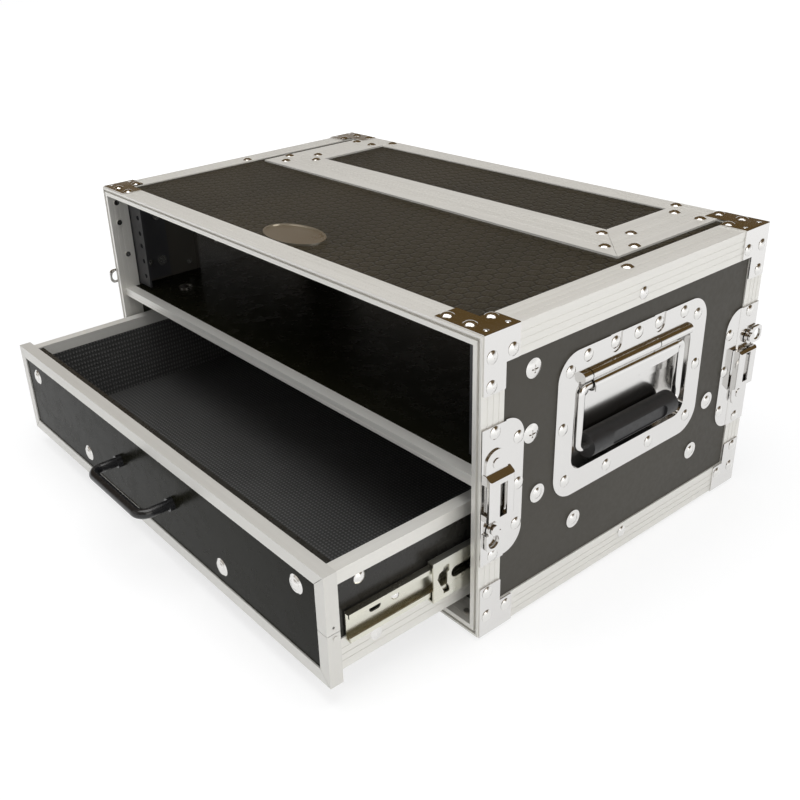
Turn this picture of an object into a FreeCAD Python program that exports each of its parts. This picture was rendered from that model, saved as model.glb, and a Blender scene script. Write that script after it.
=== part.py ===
import FreeCAD, Part
import math
import os
import Sketcher

# Road case with a two-unit rack bay over a drawer.
# X runs to the right, Y to the back and Z up, in millimetres. The origin lies under the middle
# of the case, on the surface that it stands on.

Vector = FreeCAD.Vector
document = FreeCAD.newDocument("RoadCase")
sheet = document.addObject("Spreadsheet::Sheet", "Sizes")
alongX = Vector(1, 0, 0)
alongY = Vector(0, 1, 0)
alongZ = Vector(0, 0, 1)


# A size carries its number and the same sum in words, so that what is worked out from the sheet
# stays tied to the sheet.
class Size:
    def __init__(self, number, words):
        self.number = float(number)
        self.words = words

    def joined(self, sign, other, number):
        return Size(number, "(%s %s %s)" % (self.words, sign, other.words))

    def __add__(self, other):
        other = asSize(other)
        return self.joined("+", other, self.number + other.number)

    def __sub__(self, other):
        other = asSize(other)
        return self.joined("-", other, self.number - other.number)

    def __mul__(self, other):
        other = asSize(other)
        return self.joined("*", other, self.number * other.number)

    def __truediv__(self, other):
        other = asSize(other)
        return self.joined("/", other, self.number / other.number)

    def __neg__(self):
        return Size(-self.number, "(0 - %s)" % self.words)

    def __radd__(self, other):
        return asSize(other) + self

    def __rsub__(self, other):
        return asSize(other) - self

    def __rmul__(self, other):
        return asSize(other) * self


def asSize(value):
    if isinstance(value, Size):
        return value
    return Size(value, "(%.6f)" % value)


def size(name, millimetres):
    row = len(size.names) + 1
    sheet.set("A%d" % row, name)
    sheet.set("B%d" % row, str(millimetres))
    sheet.setAlias("B%d" % row, name)
    size.names.append(name)
    return Size(millimetres, "Sizes." + name)


size.names = []
nothing = asSize(0)

# Case body, over the aluminium
caseWidth = size("caseWidth", 512)
caseDepth = size("caseDepth", 313)
caseHeight = size("caseHeight", 229)
skin = size("extrusionSkin", 1.0)
ply = size("plyThickness", 5.5)
edgeFlange = size("edgeFlange", 23)
rimFlange = size("rimFlange", 21)
rimInnerFlange = size("rimInnerFlange", 20)
rimInnerSkin = size("rimInnerSkin", 0.8)
rimWeb = size("rimWeb", 3.5)
rimLip = size("rimLip", 1.6)
rimGrooveWidth = size("rimGrooveWidth", 2.2)
rimGrooveDepth = size("rimGrooveDepth", 2.0)
ridgeDepth = size("ridgeDepth", 0.18)
ridgeWidth = size("ridgeWidth", 1.4)
ridgeStep = size("ridgeStep", 5.2)
panelFit = size("panelFit", 0.2)

# Rivets, bolts and the sheet of the corner braces
rivetHeadRadius = size("rivetHeadRadius", 4.7)
rivetHeadHeight = size("rivetHeadHeight", 2.0)
rivetLip = size("rivetLip", 0.3)
rivetShank = size("rivetShankRadius", 2.0)
rivetTailRadius = size("rivetTailRadius", 2.6)
rivetTailHeight = size("rivetTailHeight", 1.2)
drillFit = size("drillFit", 0.05)
washerRadius = size("washerRadius", 7.1)
washerHeight = size("washerHeight", 1.0)
washerSlope = size("washerSlope", 1.4)
boltHeadRadius = size("boltHeadRadius", 4.4)
boltHeadHeight = size("boltHeadHeight", 1.6)
broadHeadHeight = size("broadHeadHeight", 1.8)
headSlotWide = size("headSlotWide", 1.2)
headSlotLong = size("headSlotLong", 6)
headSlotDeep = size("headSlotDeep", 0.8)
boltShank = size("boltShankRadius", 2.5)
nutRadius = size("nutRadius", 5.0)
nutHeight = size("nutHeight", 1.6)
braceSheet = size("braceSheet", 1.0)
braceInset = size("braceInset", 1.2)
braceTopReach = size("braceTopReach", 43)
braceSideReach = size("braceSideReach", 41)
braceBackReach = size("braceBackReach", 33)
braceTip = size("braceTipRadius", 1.2)
braceArmWide = size("braceArmWide", 22.5)
braceArmDeep = size("braceArmDeep", 19.8)
braceRivetFront = size("braceRivetFront", 8.3)
braceRivetBack = size("braceRivetBack", 27)
braceRivetDown = size("braceRivetDown", 15.6)
braceRivetAcross = size("braceRivetAcross", 18.2)
braceRivetStep = size("braceRivetStep", 20)

# Shelf between the rack bay and the drawer
shelfTop = size("shelfTop", 126)
shelfPly = size("shelfPly", 6)
shelfSetBack = size("shelfSetBack", 4)
shelfTrimLeg = size("shelfTrimLeg", 10)
bracketSheet = size("bracketSheet", 2)
bracketLength = size("bracketLength", 30)
bracketDrop = size("bracketDrop", 30)
bracketReach = size("bracketReach", 50)
bracketBoltBack = size("bracketBoltBack", 100)
bracketBoltDrop = size("bracketBoltDrop", 23)
bracketShelfBolt = size("bracketShelfBolt", 42)
bracketShelfShift = size("bracketShelfShift", 6)

# Rack rails and the 19-inch hole pattern
rackHoleSpread = size("rackHoleSpread", 465.1)
rackUnit = size("rackUnit", 44.45)
rackHoleFirst = size("rackHoleFirst", 6.35)
rackHoleStep = size("rackHoleStep", 15.875)
rackHoleRadius = size("rackHoleRadius", 2.5)
rackStart = size("rackStart", 131.5)
railSheet = size("railSheet", 2)
railFace = size("railFace", 24)
railLeg = size("railLeg", 36)
railSetBack = size("railSetBack", 21)
railHeadroom = size("railHeadroom", 1.2)
railBoltBack = size("railBoltBack", 48.3)
railLegTop = size("railLegTop", 200)
railRelief = size("railReliefRadius", 3.4)
railBoltLow = size("railBoltLow", 144.8)
railBoltHigh = size("railBoltHigh", 192.5)

# Grooved frame on the back half of the top
frameOuterWidth = size("frameOuterWidth", 448)
frameBar = size("frameBar", 45)
frameFront = size("frameFront", 144)
frameThick = size("frameThick", 1.6)

# Bare oval badge
badgeLong = size("badgeLong", 68)
badgeWide = size("badgeWide", 40)
badgeThick = size("badgeThick", 1.2)
badgeRim = size("badgeRim", 2.0)
badgeAside = size("badgeAside", 6)
badgeBack = size("badgeBack", 42)

# Side handles
handlePlateLong = size("handlePlateLong", 168)
handlePlateHigh = size("handlePlateHigh", 113.4)
handlePlateLow = size("handlePlateLow", 78.3)
handleSheet = size("handleSheet", 1.2)
handleCorner = size("handleCorner", 20)
handleRivetHigh = size("handleRivetHigh", 184.8)
handleRivetAside = size("handleRivetAside", 54.3)
dishLong = size("dishLong", 132)
dishHigh = size("dishHigh", 73)
dishLow = size("dishLow", 97)
dishDeep = size("dishDeep", 12)
dishCorner = size("dishCorner", 11)
beadRadius = size("beadRadius", 4.2)
beadHigh = size("beadHigh", 170)
beadOut = size("beadOut", 0.8)
beadGapWide = size("beadGapWide", 0.8)
beadLong = size("beadLong", 124)
beadGapLeft = size("beadGapLeft", 0.427)
beadGapRight = size("beadGapRight", 0.181)
plateNotchWide = size("plateNotchWide", 12.6)
plateNotchLow = size("plateNotchLow", 177.5)
plateNotchDeep = size("plateNotchDeep", 0.7)
plateNotchAside = size("plateNotchAside", 24.7)
bailRod = size("bailRodRadius", 3.3)
bailPin = size("bailPinRadius", 2.8)
bailSpread = size("bailSpread", 115)
bailDrop = size("bailDrop", 48)
bailPivotHigh = size("bailPivotHigh", 160)
bailPivotOut = size("bailPivotOut", -2.1)
bailStub = size("bailStub", 12)
bailBend = size("bailBend", 5)
bailFit = size("bailFit", 0.08)
bailEndPlay = size("bailEndPlay", 0.5)
sleeveRadius = size("sleeveRadius", 5.2)
sleeveMouth = size("sleeveMouthRadius", 4.3)
sleeveMouthDeep = size("sleeveMouthDeep", 3)
sleeveLong = size("sleeveLong", 95)
hingeSheet = size("hingeSheet", 0.8)
hingeLeafLong = size("hingeLeafLong", 112)
hingeLeafLow = size("hingeLeafLow", 136)
apronDrop = size("hingeApronDrop", 6.4)
apronTab = size("hingeApronTab", 2)
apronTabWide = size("hingeApronTabWide", 16)
apronTaper = size("hingeApronTaper", 14)
hingeTabLow = size("hingeTabLow", 146)
hingeTabWide = size("hingeTabWide", 14)
hingeRivetHigh = size("hingeRivetHigh", 150.5)
hingeRivetAside = size("hingeRivetAside", 43)
springWall = size("springWall", 0.8)
springLong = size("springLong", 50)
springPitch = size("springPitch", 2.4)
gripRadius = size("gripRadius", 9.3)
gripLong = size("gripLong", 98)
gripRecessLong = size("gripRecessLong", 63)
gripRecessWide = size("gripRecessWide", 10)
gripRecessDeep = size("gripRecessDeep", 2.2)
gripRecessCorner = size("gripRecessCorner", 3)
gripRecessAside = size("gripRecessAside", 4)

# Lid latches
latchHigh = size("latchHigh", 104.4)
latchDeep = size("latchDeep", 40.1)
latchMiddle = size("latchMiddle", 112.7)
latchSheet = size("latchSheet", 1.2)
latchCorner = size("latchCorner", 18)
coverRise = size("coverRise", 5.9)
coverFront = size("coverFront", 3)
coverDeep = size("coverDeep", 23)
coverHigh = size("coverHigh", 19)
coverSlope = size("coverSlope", 3.4)
coverEase = size("coverEase", 2)
coverRound = size("coverRound", 1.6)
coverLow = size("coverLow", 16.2)
slotFront = size("slotFront", 12)
slotWide = size("slotWide", 6.8)
slotHigh = size("slotHigh", 11.8)
slotLow = size("slotLow", 13.6)
tabHigh = size("tabHigh", 35)
tabRivetHigh = size("tabRivetHigh", 25)
keyPivotFront = size("keyPivotFront", 10.5)
keyPivotDrop = size("keyPivotDrop", 24.7)
keyHub = size("keyHubRadius", 5.6)
keyPost = size("keyPostRadius", 2.4)
keyHead = size("keyHeadRadius", 3.7)
keyReach = size("keyReach", 9.7)
keyThick = size("keyThickness", 2)
keyArmWide = size("keyArmWide", 9)
keyEyeOuter = size("keyEyeOuter", 6.9)
keyEyeCorner = size("keyEyeCorner", 4.5)
keyEyeHole = size("keyEyeHole", 5)
keyRise = size("keyRise", 0.6)
keyHeadHigh = size("keyHeadHigh", 1.2)
keyFit = size("keyFit", 0.08)
keyGap = size("keyGap", 0.4)
boltStroke = size("latchBoltStroke", 3.5)
boltLong = size("latchBoltLong", 15)
boltHigh = size("latchBoltHigh", 22)
boltThick = size("latchBoltThick", 1.8)

# Drawer
drawerOpen = size("drawerOpen", 130)
drawerInset = size("drawerInset", 14)
drawerFrontWidth = size("drawerFrontWidth", 480)
drawerFrontHigh = size("drawerFrontHigh", 88)
drawerFrontThick = size("drawerFrontThick", 10.5)
drawerFrontLow = size("drawerFrontLow", 14.2)
trimBand = size("trimBand", 10)
trimSkin = size("trimSkin", 1.0)
trimSeam = size("trimSeam", 0.4)
trimSeamHigh = size("trimSeamHigh", 42)
boxDepth = size("drawerBoxDepth", 268)
boxLow = size("drawerBoxLow", 21)
boxHigh = size("drawerBoxHigh", 99.5)
boxPly = size("drawerBoxPly", 8)
boxWall = size("drawerWallPly", 7)
boxFloor = size("drawerFloorPly", 4)
topTrimLeg = size("topTrimLeg", 10.4)
boxRivetHigh = size("boxRivetHigh", 84.8)
boxRivetInset = size("boxRivetInset", 20.5)
flatRivetInset = size("flatRivetInset", 31.4)
flatRivetHigh = size("flatRivetHigh", 34)
baseFlange = size("baseFlange", 25)
lining = size("liningThickness", 2)
pullSpread = size("pullSpread", 87)
pullReach = size("pullReach", 27)
pullRod = size("pullRodRadius", 4)
pullHigh = size("pullHigh", 60)
pullBend = size("pullBend", 9)
pullCollar = size("pullCollarRadius", 5.4)
pullCollarLong = size("pullCollarLong", 4)
frontBoltOuter = size("frontBoltOuter", 208.3)
frontBoltInner = size("frontBoltInner", 111.6)
frontBoltUpper = size("frontBoltUpper", 79.2)
frontBoltLower = size("frontBoltLower", 38)

# Ball-bearing slides
slideThick = size("slideThick", 12.7)
slideLong = size("slideLong", 250)
slideMiddle = size("slideMiddle", 55)
slideSheet = size("slideSheet", 1.2)
slideOuterHigh = size("slideOuterHigh", 45)
slideMidHigh = size("slideMidHigh", 32.3)
slideMidShift = size("slideMidShift", 4.5)
slideInnerHigh = size("slideInnerHigh", 22.5)
slideInnerReach = size("slideInnerReach", 5.2)
slideScrewRise = size("slideScrewRise", 3)
slideFront = size("slideFront", 30.5)
slideMidWeb = size("slideMidWeb", 4.1)
slideLip = size("slideLip", 2.4)
slideBoltFront = size("slideBoltFront", 66)
slideBoltRear = size("slideBoltRear", 210)
document.recompute()

# Planes worked out from the sizes above
lift = braceSheet + rivetHeadHeight
halfWidth = caseWidth / 2
halfDepth = caseDepth / 2
caseTop = lift + caseHeight
wall = skin + ply + rimInnerSkin
innerSide = halfWidth - skin - ply
panelLow = lift + skin + ply
panelHigh = caseTop - skin - ply


def bind(thing, path, value):
    thing.setExpression(path, asSize(value).words)


def place(thing, x, y, z, rotation=None):
    if rotation is not None:
        thing.Placement = FreeCAD.Placement(Vector(0, 0, 0), rotation)
    bind(thing, "Placement.Base.x", x)
    bind(thing, "Placement.Base.y", y)
    bind(thing, "Placement.Base.z", z)


def turned(axis, degrees):
    return FreeCAD.Rotation(axis, degrees)


def newBody(label):
    body = document.addObject("PartDesign::Body", label)
    body.Label = label
    return body


# A sketch on one of the body's own planes, with each corner tied to the sheet
def drawSketch(body, plane, level, outlines, circles):
    sketch = body.newObject("Sketcher::SketchObject", body.Name + "_sketch")
    support = [part for part in body.Origin.OriginFeatures if part.Role == plane + "_Plane"][0]
    sketch.AttachmentSupport = [(support, "")]
    sketch.MapMode = "FlatFace"
    bind(sketch, "AttachmentOffset.Base.z", level)
    for outline in outlines:
        corners = [(asSize(across), asSize(along)) for across, along in outline]
        first = sketch.GeometryCount
        count = len(corners)
        for index in range(count):
            start = corners[index]
            end = corners[(index + 1) % count]
            line = Part.LineSegment(
                Vector(start[0].number, start[1].number, 0), Vector(end[0].number, end[1].number, 0))
            sketch.addGeometry(line, False)
        for index in range(count):
            following = first + (index + 1) % count
            sketch.addConstraint(Sketcher.Constraint("Coincident", first + index, 2, following, 1))
        for index in range(count):
            tie(sketch, "DistanceX", first + index, 1, corners[index][0])
            tie(sketch, "DistanceY", first + index, 1, corners[index][1])
    for across, along, radius in circles:
        centre = Vector(asSize(across).number, asSize(along).number, 0)
        ring = sketch.addGeometry(Part.Circle(centre, Vector(0, 0, 1), asSize(radius).number), False)
        tie(sketch, "DistanceX", ring, 3, asSize(across))
        tie(sketch, "DistanceY", ring, 3, asSize(along))
        number = sketch.addConstraint(Sketcher.Constraint("Radius", ring, asSize(radius).number))
        bind(sketch, "Constraints[%d]" % number, radius)
    return sketch


def tie(sketch, kind, geometry, point, value):
    constraint = Sketcher.Constraint(kind, -1, 1, geometry, point, value.number)
    number = sketch.addConstraint(constraint)
    sketch.setExpression("Constraints[%d]" % number, value.words)


# Adds to the body the outlines between two levels of a plane: XY runs up, YZ to the right,
# XZ to the back
def pad(body, plane, low, high, outlines=(), circles=()):
    level = -asSize(high) if plane == "XZ" else low
    sketch = drawSketch(body, plane, level, outlines, circles)
    feature = body.newObject("PartDesign::Pad", body.Name + "_pad")
    feature.Profile = sketch
    bind(feature, "Length", asSize(high) - low)
    return feature


def pocket(body, plane, low, high, outlines=(), circles=()):
    level = -asSize(low) if plane == "XZ" else high
    sketch = drawSketch(body, plane, level, outlines, circles)
    feature = body.newObject("PartDesign::Pocket", body.Name + "_pocket")
    feature.Profile = sketch
    bind(feature, "Length", asSize(high) - low)
    return feature


def rectangle(low, high):
    return [(low[0], low[1]), (high[0], low[1]), (high[0], high[1]), (low[0], high[1])]


# Rounds the straight edges that run along one axis through the given spots
def roundEdges(body, axis, spots, radius):
    document.recompute()
    others = [index for index in range(3) if index != axis]
    wanted = []
    base = body.Tip
    for number, edge in enumerate(base.Shape.Edges, 1):
        if len(edge.Vertexes) != 2:
            continue
        span = edge.Vertexes[1].Point - edge.Vertexes[0].Point
        if abs(span[axis]) < 0.999 * span.Length or span.Length < 1e-6:
            continue
        middle = edge.CenterOfMass
        for spot in spots:
            gaps = [abs(middle[others[side]] - asSize(spot[side]).number) for side in range(2)]
            if max(gaps) < 0.01:
                wanted.append("Edge%d" % number)
    feature = body.newObject("PartDesign::Fillet", body.Name + "_fillet")
    feature.Base = (base, wanted)
    bind(feature, "Radius", radius)
    return feature


# The corners of a strip with shallow grooves along it, from start to end
def groovedRun(start, end, level, depth, count, middle):
    step = ridgeStep if end.number > start.number else -ridgeStep
    half = ridgeWidth / 2 if end.number > start.number else -(ridgeWidth / 2)
    corners = [(start, level)]
    for index in range(count):
        centre = middle + step * (index - (count - 1) / 2)
        corners.append((centre - half, level))
        corners.append((centre - half, level + depth))
        corners.append((centre + half, level + depth))
        corners.append((centre + half, level))
    corners.append((end, level))
    return corners


def swapped(corners):
    return [(second, first) for first, second in corners]


finished = []


def keep(thing):
    finished.append(thing)
    return thing


def drilled(base, label, drills):
    cut = document.addObject("Part::Cut", label)
    cut.Label = label
    cut.Base = base
    cut.Tool = drills
    base.Label = label + "_blank"
    return keep(cut)


def grouped(label, shapes):
    feature = document.addObject("Part::Feature", label)
    feature.Label = label
    feature.Shape = Part.makeCompound(shapes)
    return feature


# Every rivet and bolt on a face is a spot on it. The spot's frame has Z out of the face.
class Spot:
    def __init__(self, base, outward, seat, grip):
        self.base = base
        self.outward = outward
        self.seat = asSize(seat).number
        self.grip = asSize(grip).number

    def placed(self, shape):
        moved = shape.copy()
        moved.Placement = FreeCAD.Placement(self.base, FreeCAD.Rotation(alongZ, self.outward))
        return moved

    def drill(self, radius):
        reach = 12
        length = self.grip + 2 * reach
        return self.placed(Part.makeCylinder(radius.number, length, Vector(0, 0, -self.grip - reach)))


def sideSpot(side, y, z, seat, grip):
    base = Vector(side * halfWidth.number, y, z)
    return Spot(base, Vector(side, 0, 0), seat, grip)


def levelSpot(up, x, y, seat, grip):
    base = Vector(x, y, caseTop.number if up > 0 else lift.number)
    return Spot(base, Vector(0, 0, up), seat, grip)


# A solid turned about Z from the corners of its half section, under a round crown where one is given
def turnedSolid(corners, crown=0):
    points = [Vector(radius, 0, height) for radius, height in corners]
    edges = [Part.LineSegment(start, end).toShape() for start, end in zip(points, points[1:])]
    rim = points[-1]
    if crown:
        ball = (rim.x ** 2 + crown ** 2) / (2 * crown)
        centre = rim.z + crown - ball
        lean = math.asin(rim.x / ball) / 2
        middle = Vector(ball * math.sin(lean), 0, centre + ball * math.cos(lean))
        peak = Vector(0, 0, rim.z + crown)
        edges.append(Part.Arc(rim, middle, peak).toShape())
        rim = peak
    edges.append(Part.LineSegment(rim, points[0]).toShape())
    face = Part.Face(Part.Wire(edges))
    return face.revolve(Vector(0, 0, 0), alongZ, 360)


def rivetShape(spot):
    top = spot.seat
    foot = -spot.grip
    tail = foot - rivetTailHeight.number
    head = rivetHeadRadius.number
    lip = rivetLip.number
    corners = [(0, tail), (rivetTailRadius.number, tail), (rivetTailRadius.number, foot),
               (rivetShank.number, foot), (rivetShank.number, top), (head, top), (head, top + lip)]
    return spot.placed(turnedSolid(corners, rivetHeadHeight.number - lip))


def boltFoot(spot, top):
    foot = -spot.grip
    nutEnd = foot - nutHeight.number
    return [(0, nutEnd), (nutRadius.number, nutEnd), (nutRadius.number, foot), (boltShank.number, foot),
            (boltShank.number, top)]


# A domed bolt on a washer
def boltShape(spot):
    top = spot.seat
    washerTop = top + washerHeight.number
    corners = boltFoot(spot, top) + [(washerRadius.number, top), (washerRadius.number, washerTop),
                                     (boltHeadRadius.number, washerTop)]
    return spot.placed(turnedSolid(corners, boltHeadHeight.number))


# A bolt with one broad low head and a cross in it
def broadBoltShape(spot):
    top = spot.seat
    head = washerRadius.number
    lip = rivetLip.number
    solid = turnedSolid(boltFoot(spot, top) + [(head, top), (head, top + lip)], broadHeadHeight.number - lip)
    peak = top + broadHeadHeight.number
    for wide, long in ((headSlotWide.number, headSlotLong.number), (headSlotLong.number, headSlotWide.number)):
        start = Vector(-wide / 2, -long / 2, peak - headSlotDeep.number)
        solid = solid.cut(Part.makeBox(wide, long, headSlotDeep.number, start))
    return spot.placed(solid)


def aboveBase(height):
    return lift + height


def mirroredCorners(corners):
    return [(-asSize(across), along) for across, along in corners]


# Rivet and bolt spots of the case
def braceSpots(up):
    spots = []
    thickness = braceSheet.number
    front = braceRivetFront.number
    back = braceRivetBack.number
    far = braceRivetStep.number
    inner = wall.number
    thin = (skin + ply).number
    height = (caseTop if up > 0 else lift).number
    for sideSign in (-1, 1):
        for endSign in (-1, 1):
            for along, down, grip in ((front, 0, inner), (back, 0, thin), (front, far, inner)):
                y = endSign * (halfDepth.number - along)
                z = height - up * (braceRivetDown.number + down)
                spots.append(sideSpot(sideSign, y, z, thickness, grip))
            for along, across, grip in ((front, 0, inner), (front, far, inner), (back, 0, thin)):
                x = sideSign * (halfWidth.number - braceRivetAcross.number - across)
                y = endSign * (halfDepth.number - along)
                spots.append(levelSpot(up, x, y, thickness, grip))
    return spots


def edgeSpots(up):
    middle = 2
    inset = 15.3
    grip = skin + ply
    height = (caseTop if up > 0 else lift).number
    spots = []
    for sideSign in (-1, 1):
        spots.append(levelSpot(up, sideSign * (halfWidth.number - inset), middle, 0, grip))
        spots.append(sideSpot(sideSign, middle, height - up * inset, 0, grip))
    return spots


def frameSpots():
    seat = frameThick - skin
    grip = skin + ply
    outer = frameOuterWidth.number / 2
    bar = frameBar.number
    front = halfDepth.number - frameFront.number
    onFrame = ((outer - 6, front + 0.62 * bar), (outer - 21, front + 0.28 * bar),
               (outer - 26, front + 1.12 * bar), (outer - bar + 3, front + 0.8 * bar),
               (outer - 10, front + frameFront.number - 28), (outer - 34, front + frameFront.number - 27))
    onRim = (outer - bar - 1, halfDepth.number - 7.5)
    spots = []
    for sideSign in (-1, 1):
        for x, y in onFrame:
            spots.append(levelSpot(1, sideSign * x, y, seat, grip))
        spots.append(levelSpot(1, sideSign * onRim[0], onRim[1], 0, wall))
    return spots


# Rivets of a latch, in from the case's edge and up from the latch's middle
latchRivets = ((12.2, 47.2), (35.4, 35.2), (36.5, -0.8), (35.4, -32.5), (12.2, -47.2))


def latchCorners():
    return ((1, -1, 1), (1, 1, -1), (-1, -1, -1), (-1, 1, 1))


def latchSpots():
    spots = []
    height = aboveBase(latchMiddle).number
    for sideSign, endSign, upright in latchCorners():
        for fromEdge, rise in latchRivets:
            onRim = fromEdge < rimFlange.number
            seat = latchSheet if onRim else latchSheet - skin
            grip = wall if onRim else skin + ply
            y = endSign * (halfDepth.number - fromEdge)
            spots.append(sideSpot(sideSign, y, height + upright * rise, seat, grip))
    return spots


# Rivets round the handle plate, aside from its middle and up from the base
handleRimRivets = ((72, 178), (76.5, 135.5), (71.5, 92.5), (25, 87))


def handleSpots():
    plate = handleSheet - skin
    sunk = plate - plateNotchDeep
    back = 2 * hingeSheet - dishDeep + plate
    through = skin + ply
    deep = dishDeep - plate + handleSheet
    aside = plateNotchAside.number
    far = handleRivetAside.number
    upper = ((-far, plate), (-aside, sunk), (0, plate), (aside, sunk), (far, plate))
    spots = []
    for sideSign in (-1, 1):
        for y, seat in upper:
            spots.append(sideSpot(sideSign, y, aboveBase(handleRivetHigh).number, seat, through))
        for y, z in handleRimRivets:
            for endSign in (-1, 1):
                spots.append(sideSpot(sideSign, endSign * y, aboveBase(z).number, plate, through))
        for step in (-1, 0, 1):
            y = step * hingeRivetAside.number
            spots.append(sideSpot(sideSign, y, aboveBase(hingeRivetHigh).number, back, deep))
    return spots


def railBoltSpots():
    spots = []
    for sideSign in (-1, 1):
        for height in (railBoltLow, railBoltHigh):
            y = (railBoltBack - halfDepth).number
            grip = skin + ply + railSheet
            spots.append(sideSpot(sideSign, y, aboveBase(height).number, -skin, grip))
    return spots


def bracketBoltSpots():
    spots = []
    height = aboveBase(shelfTop - shelfPly - 2 * skin - bracketBoltDrop).number
    for sideSign in (-1, 1):
        for endSign in (-1, 1):
            grip = skin + ply + bracketSheet
            spots.append(sideSpot(sideSign, endSign * bracketBoltBack.number, height, -skin, grip))
    return spots


def slideBoltSpots():
    spots = []
    first = slideBoltFront - slideLong / 2
    last = slideBoltRear - slideLong / 2
    for sideSign in (-1, 1):
        for y in (first.number, last.number):
            grip = skin + ply + slideSheet
            spots.append(sideSpot(sideSign, y, aboveBase(slideMiddle).number, -skin, grip))
    return spots


# The bolts that hold the shelf down on its brackets
def shelfBoltSpots():
    spots = []
    top = aboveBase(shelfTop).number
    for sideSign in (-1, 1):
        for endSign in (-1, 1):
            x = sideSign * (innerSide - bracketShelfBolt).number
            y = endSign * (bracketBoltBack + bracketShelfShift).number
            spot = Spot(Vector(x, y, top), alongZ, -skin, skin + shelfPly + bracketSheet)
            spots.append(spot)
    return spots


topRivets = braceSpots(1) + edgeSpots(1) + frameSpots()
baseRivets = braceSpots(-1) + edgeSpots(-1)
wallRivets = latchSpots() + handleSpots()
washerBolts = bracketBoltSpots() + slideBoltSpots()
caseBolts = railBoltSpots() + washerBolts
shankDrill = rivetShank + drillFit
boltDrill = boltShank + drillFit
caseDrills = grouped("case_drills", [spot.drill(shankDrill) for spot in topRivets + baseRivets + wallRivets]
                     + [spot.drill(boltDrill) for spot in caseBolts])


# Panels of plywood with a plastic face
def levelPanel(label, low):
    body = newBody(label + "_body")
    across = halfWidth - skin
    along = halfDepth - rimWeb
    pad(body, "XY", low, low + ply, [rectangle((-across, -along), (across, along))])
    return drilled(body, label, caseDrills)


def sidePanel(label, side):
    body = newBody(label + "_body")
    low = innerSide if side > 0 else skin - halfWidth
    high = halfWidth - skin if side > 0 else -innerSide
    along = halfDepth - rimWeb
    pad(body, "YZ", low, high, [rectangle((-along, panelLow), (along, panelHigh))])
    reach = dishLong / 2 + handleSheet + panelFit
    bottom = aboveBase(dishLow) - handleSheet - panelFit
    top = aboveBase(beadHigh + beadRadius) + panelFit
    pocket(body, "YZ", low - 1, high + 1, [rectangle((-reach, bottom), (reach, top))])
    spots = [(y, z) for y in (-reach, reach) for z in (bottom, top)]
    roundEdges(body, 0, spots, dishCorner + handleSheet)
    return drilled(body, label, caseDrills)


levelPanel("top_panel", panelHigh)
levelPanel("bottom_panel", lift + skin)
sidePanel("left_side_panel", -1)
sidePanel("right_side_panel", 1)


# Aluminium angle with grooves along both flanges
def edgeAngle():
    body = newBody("edge_angle")
    corner = nothing
    outer = groovedRun(-edgeFlange, corner, nothing, -ridgeDepth, 3, -(edgeFlange / 2))
    down = groovedRun(corner, -edgeFlange, nothing, -ridgeDepth, 3, -(edgeFlange / 2))[1:]
    inner = [(-skin, -edgeFlange), (-skin, -skin), (-edgeFlange, -skin)]
    outline = outer + swapped(down) + inner
    reach = halfDepth - rimFlange
    pad(body, "XZ", -reach, reach, [outline])
    return body


def copied(shape, x, y, z, rotation):
    moved = shape.copy()
    moved.Placement = FreeCAD.Placement(Vector(x, y, z), rotation)
    return moved


edge = edgeAngle()
document.recompute()
edgeCopies = []
for sideSign, high, quarter in ((1, 1, 0), (1, -1, 1), (-1, -1, 2), (-1, 1, 3)):
    height = caseTop if high > 0 else lift
    edgeCopies.append(copied(edge.Shape, sideSign * halfWidth.number, 0, height.number,
                             turned(alongY, 90 * quarter)))
drilled(grouped("edge_blanks", edgeCopies), "edge_extrusions", caseDrills)


# Rim of the front or rear opening. Its own frame has X along it, Z out of the case and Y into it.
def rimBar(label, half, x, y, z, rotation):
    body = newBody(label + "_body")
    inner = -wall
    seat = inner + rimInnerSkin
    groove = rimLip + rimGrooveWidth
    top = groovedRun(nothing, rimFlange, nothing, -ridgeDepth, 3, rimFlange / 2)
    band = groovedRun(rimInnerFlange, nothing, inner, ridgeDepth, 3, rimInnerFlange / 2)
    outline = top + [(rimFlange, -skin), (rimWeb, -skin), (rimWeb, seat), (rimInnerFlange, seat)] + band
    outline += [(nothing, -groove), (rimGrooveDepth, -groove), (rimGrooveDepth, -rimLip), (nothing, -rimLip)]
    pad(body, "YZ", -half, half, [outline])
    past = 1
    for sign in (-1, 1):
        mitre = [(half + past, past), (half + past, -wall - past), (half - wall - past, -wall - past)]
        if sign < 0:
            mitre = mirroredCorners(mitre)
        pocket(body, "XZ", -past, rimFlange + past, [mitre])
    place(body, x, y, z, rotation)
    return drilled(body, label, caseDrills)


def rimSet(end, facing):
    name = "front" if end < 0 else "rear"
    y = end * halfDepth
    middle = lift + caseHeight / 2
    rimBar(name + "_rim_top", halfWidth, 0, y, caseTop, facing)
    rimBar(name + "_rim_bottom", halfWidth, 0, y, lift, turned(alongY, 180).multiply(facing))
    rimBar(name + "_rim_right", caseHeight / 2, halfWidth, y, middle, turned(alongY, 90).multiply(facing))
    rimBar(name + "_rim_left", caseHeight / 2, -halfWidth, y, middle, turned(alongY, -90).multiply(facing))


rimSet(-1, FreeCAD.Rotation())
rimSet(1, turned(alongZ, 180))


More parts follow.
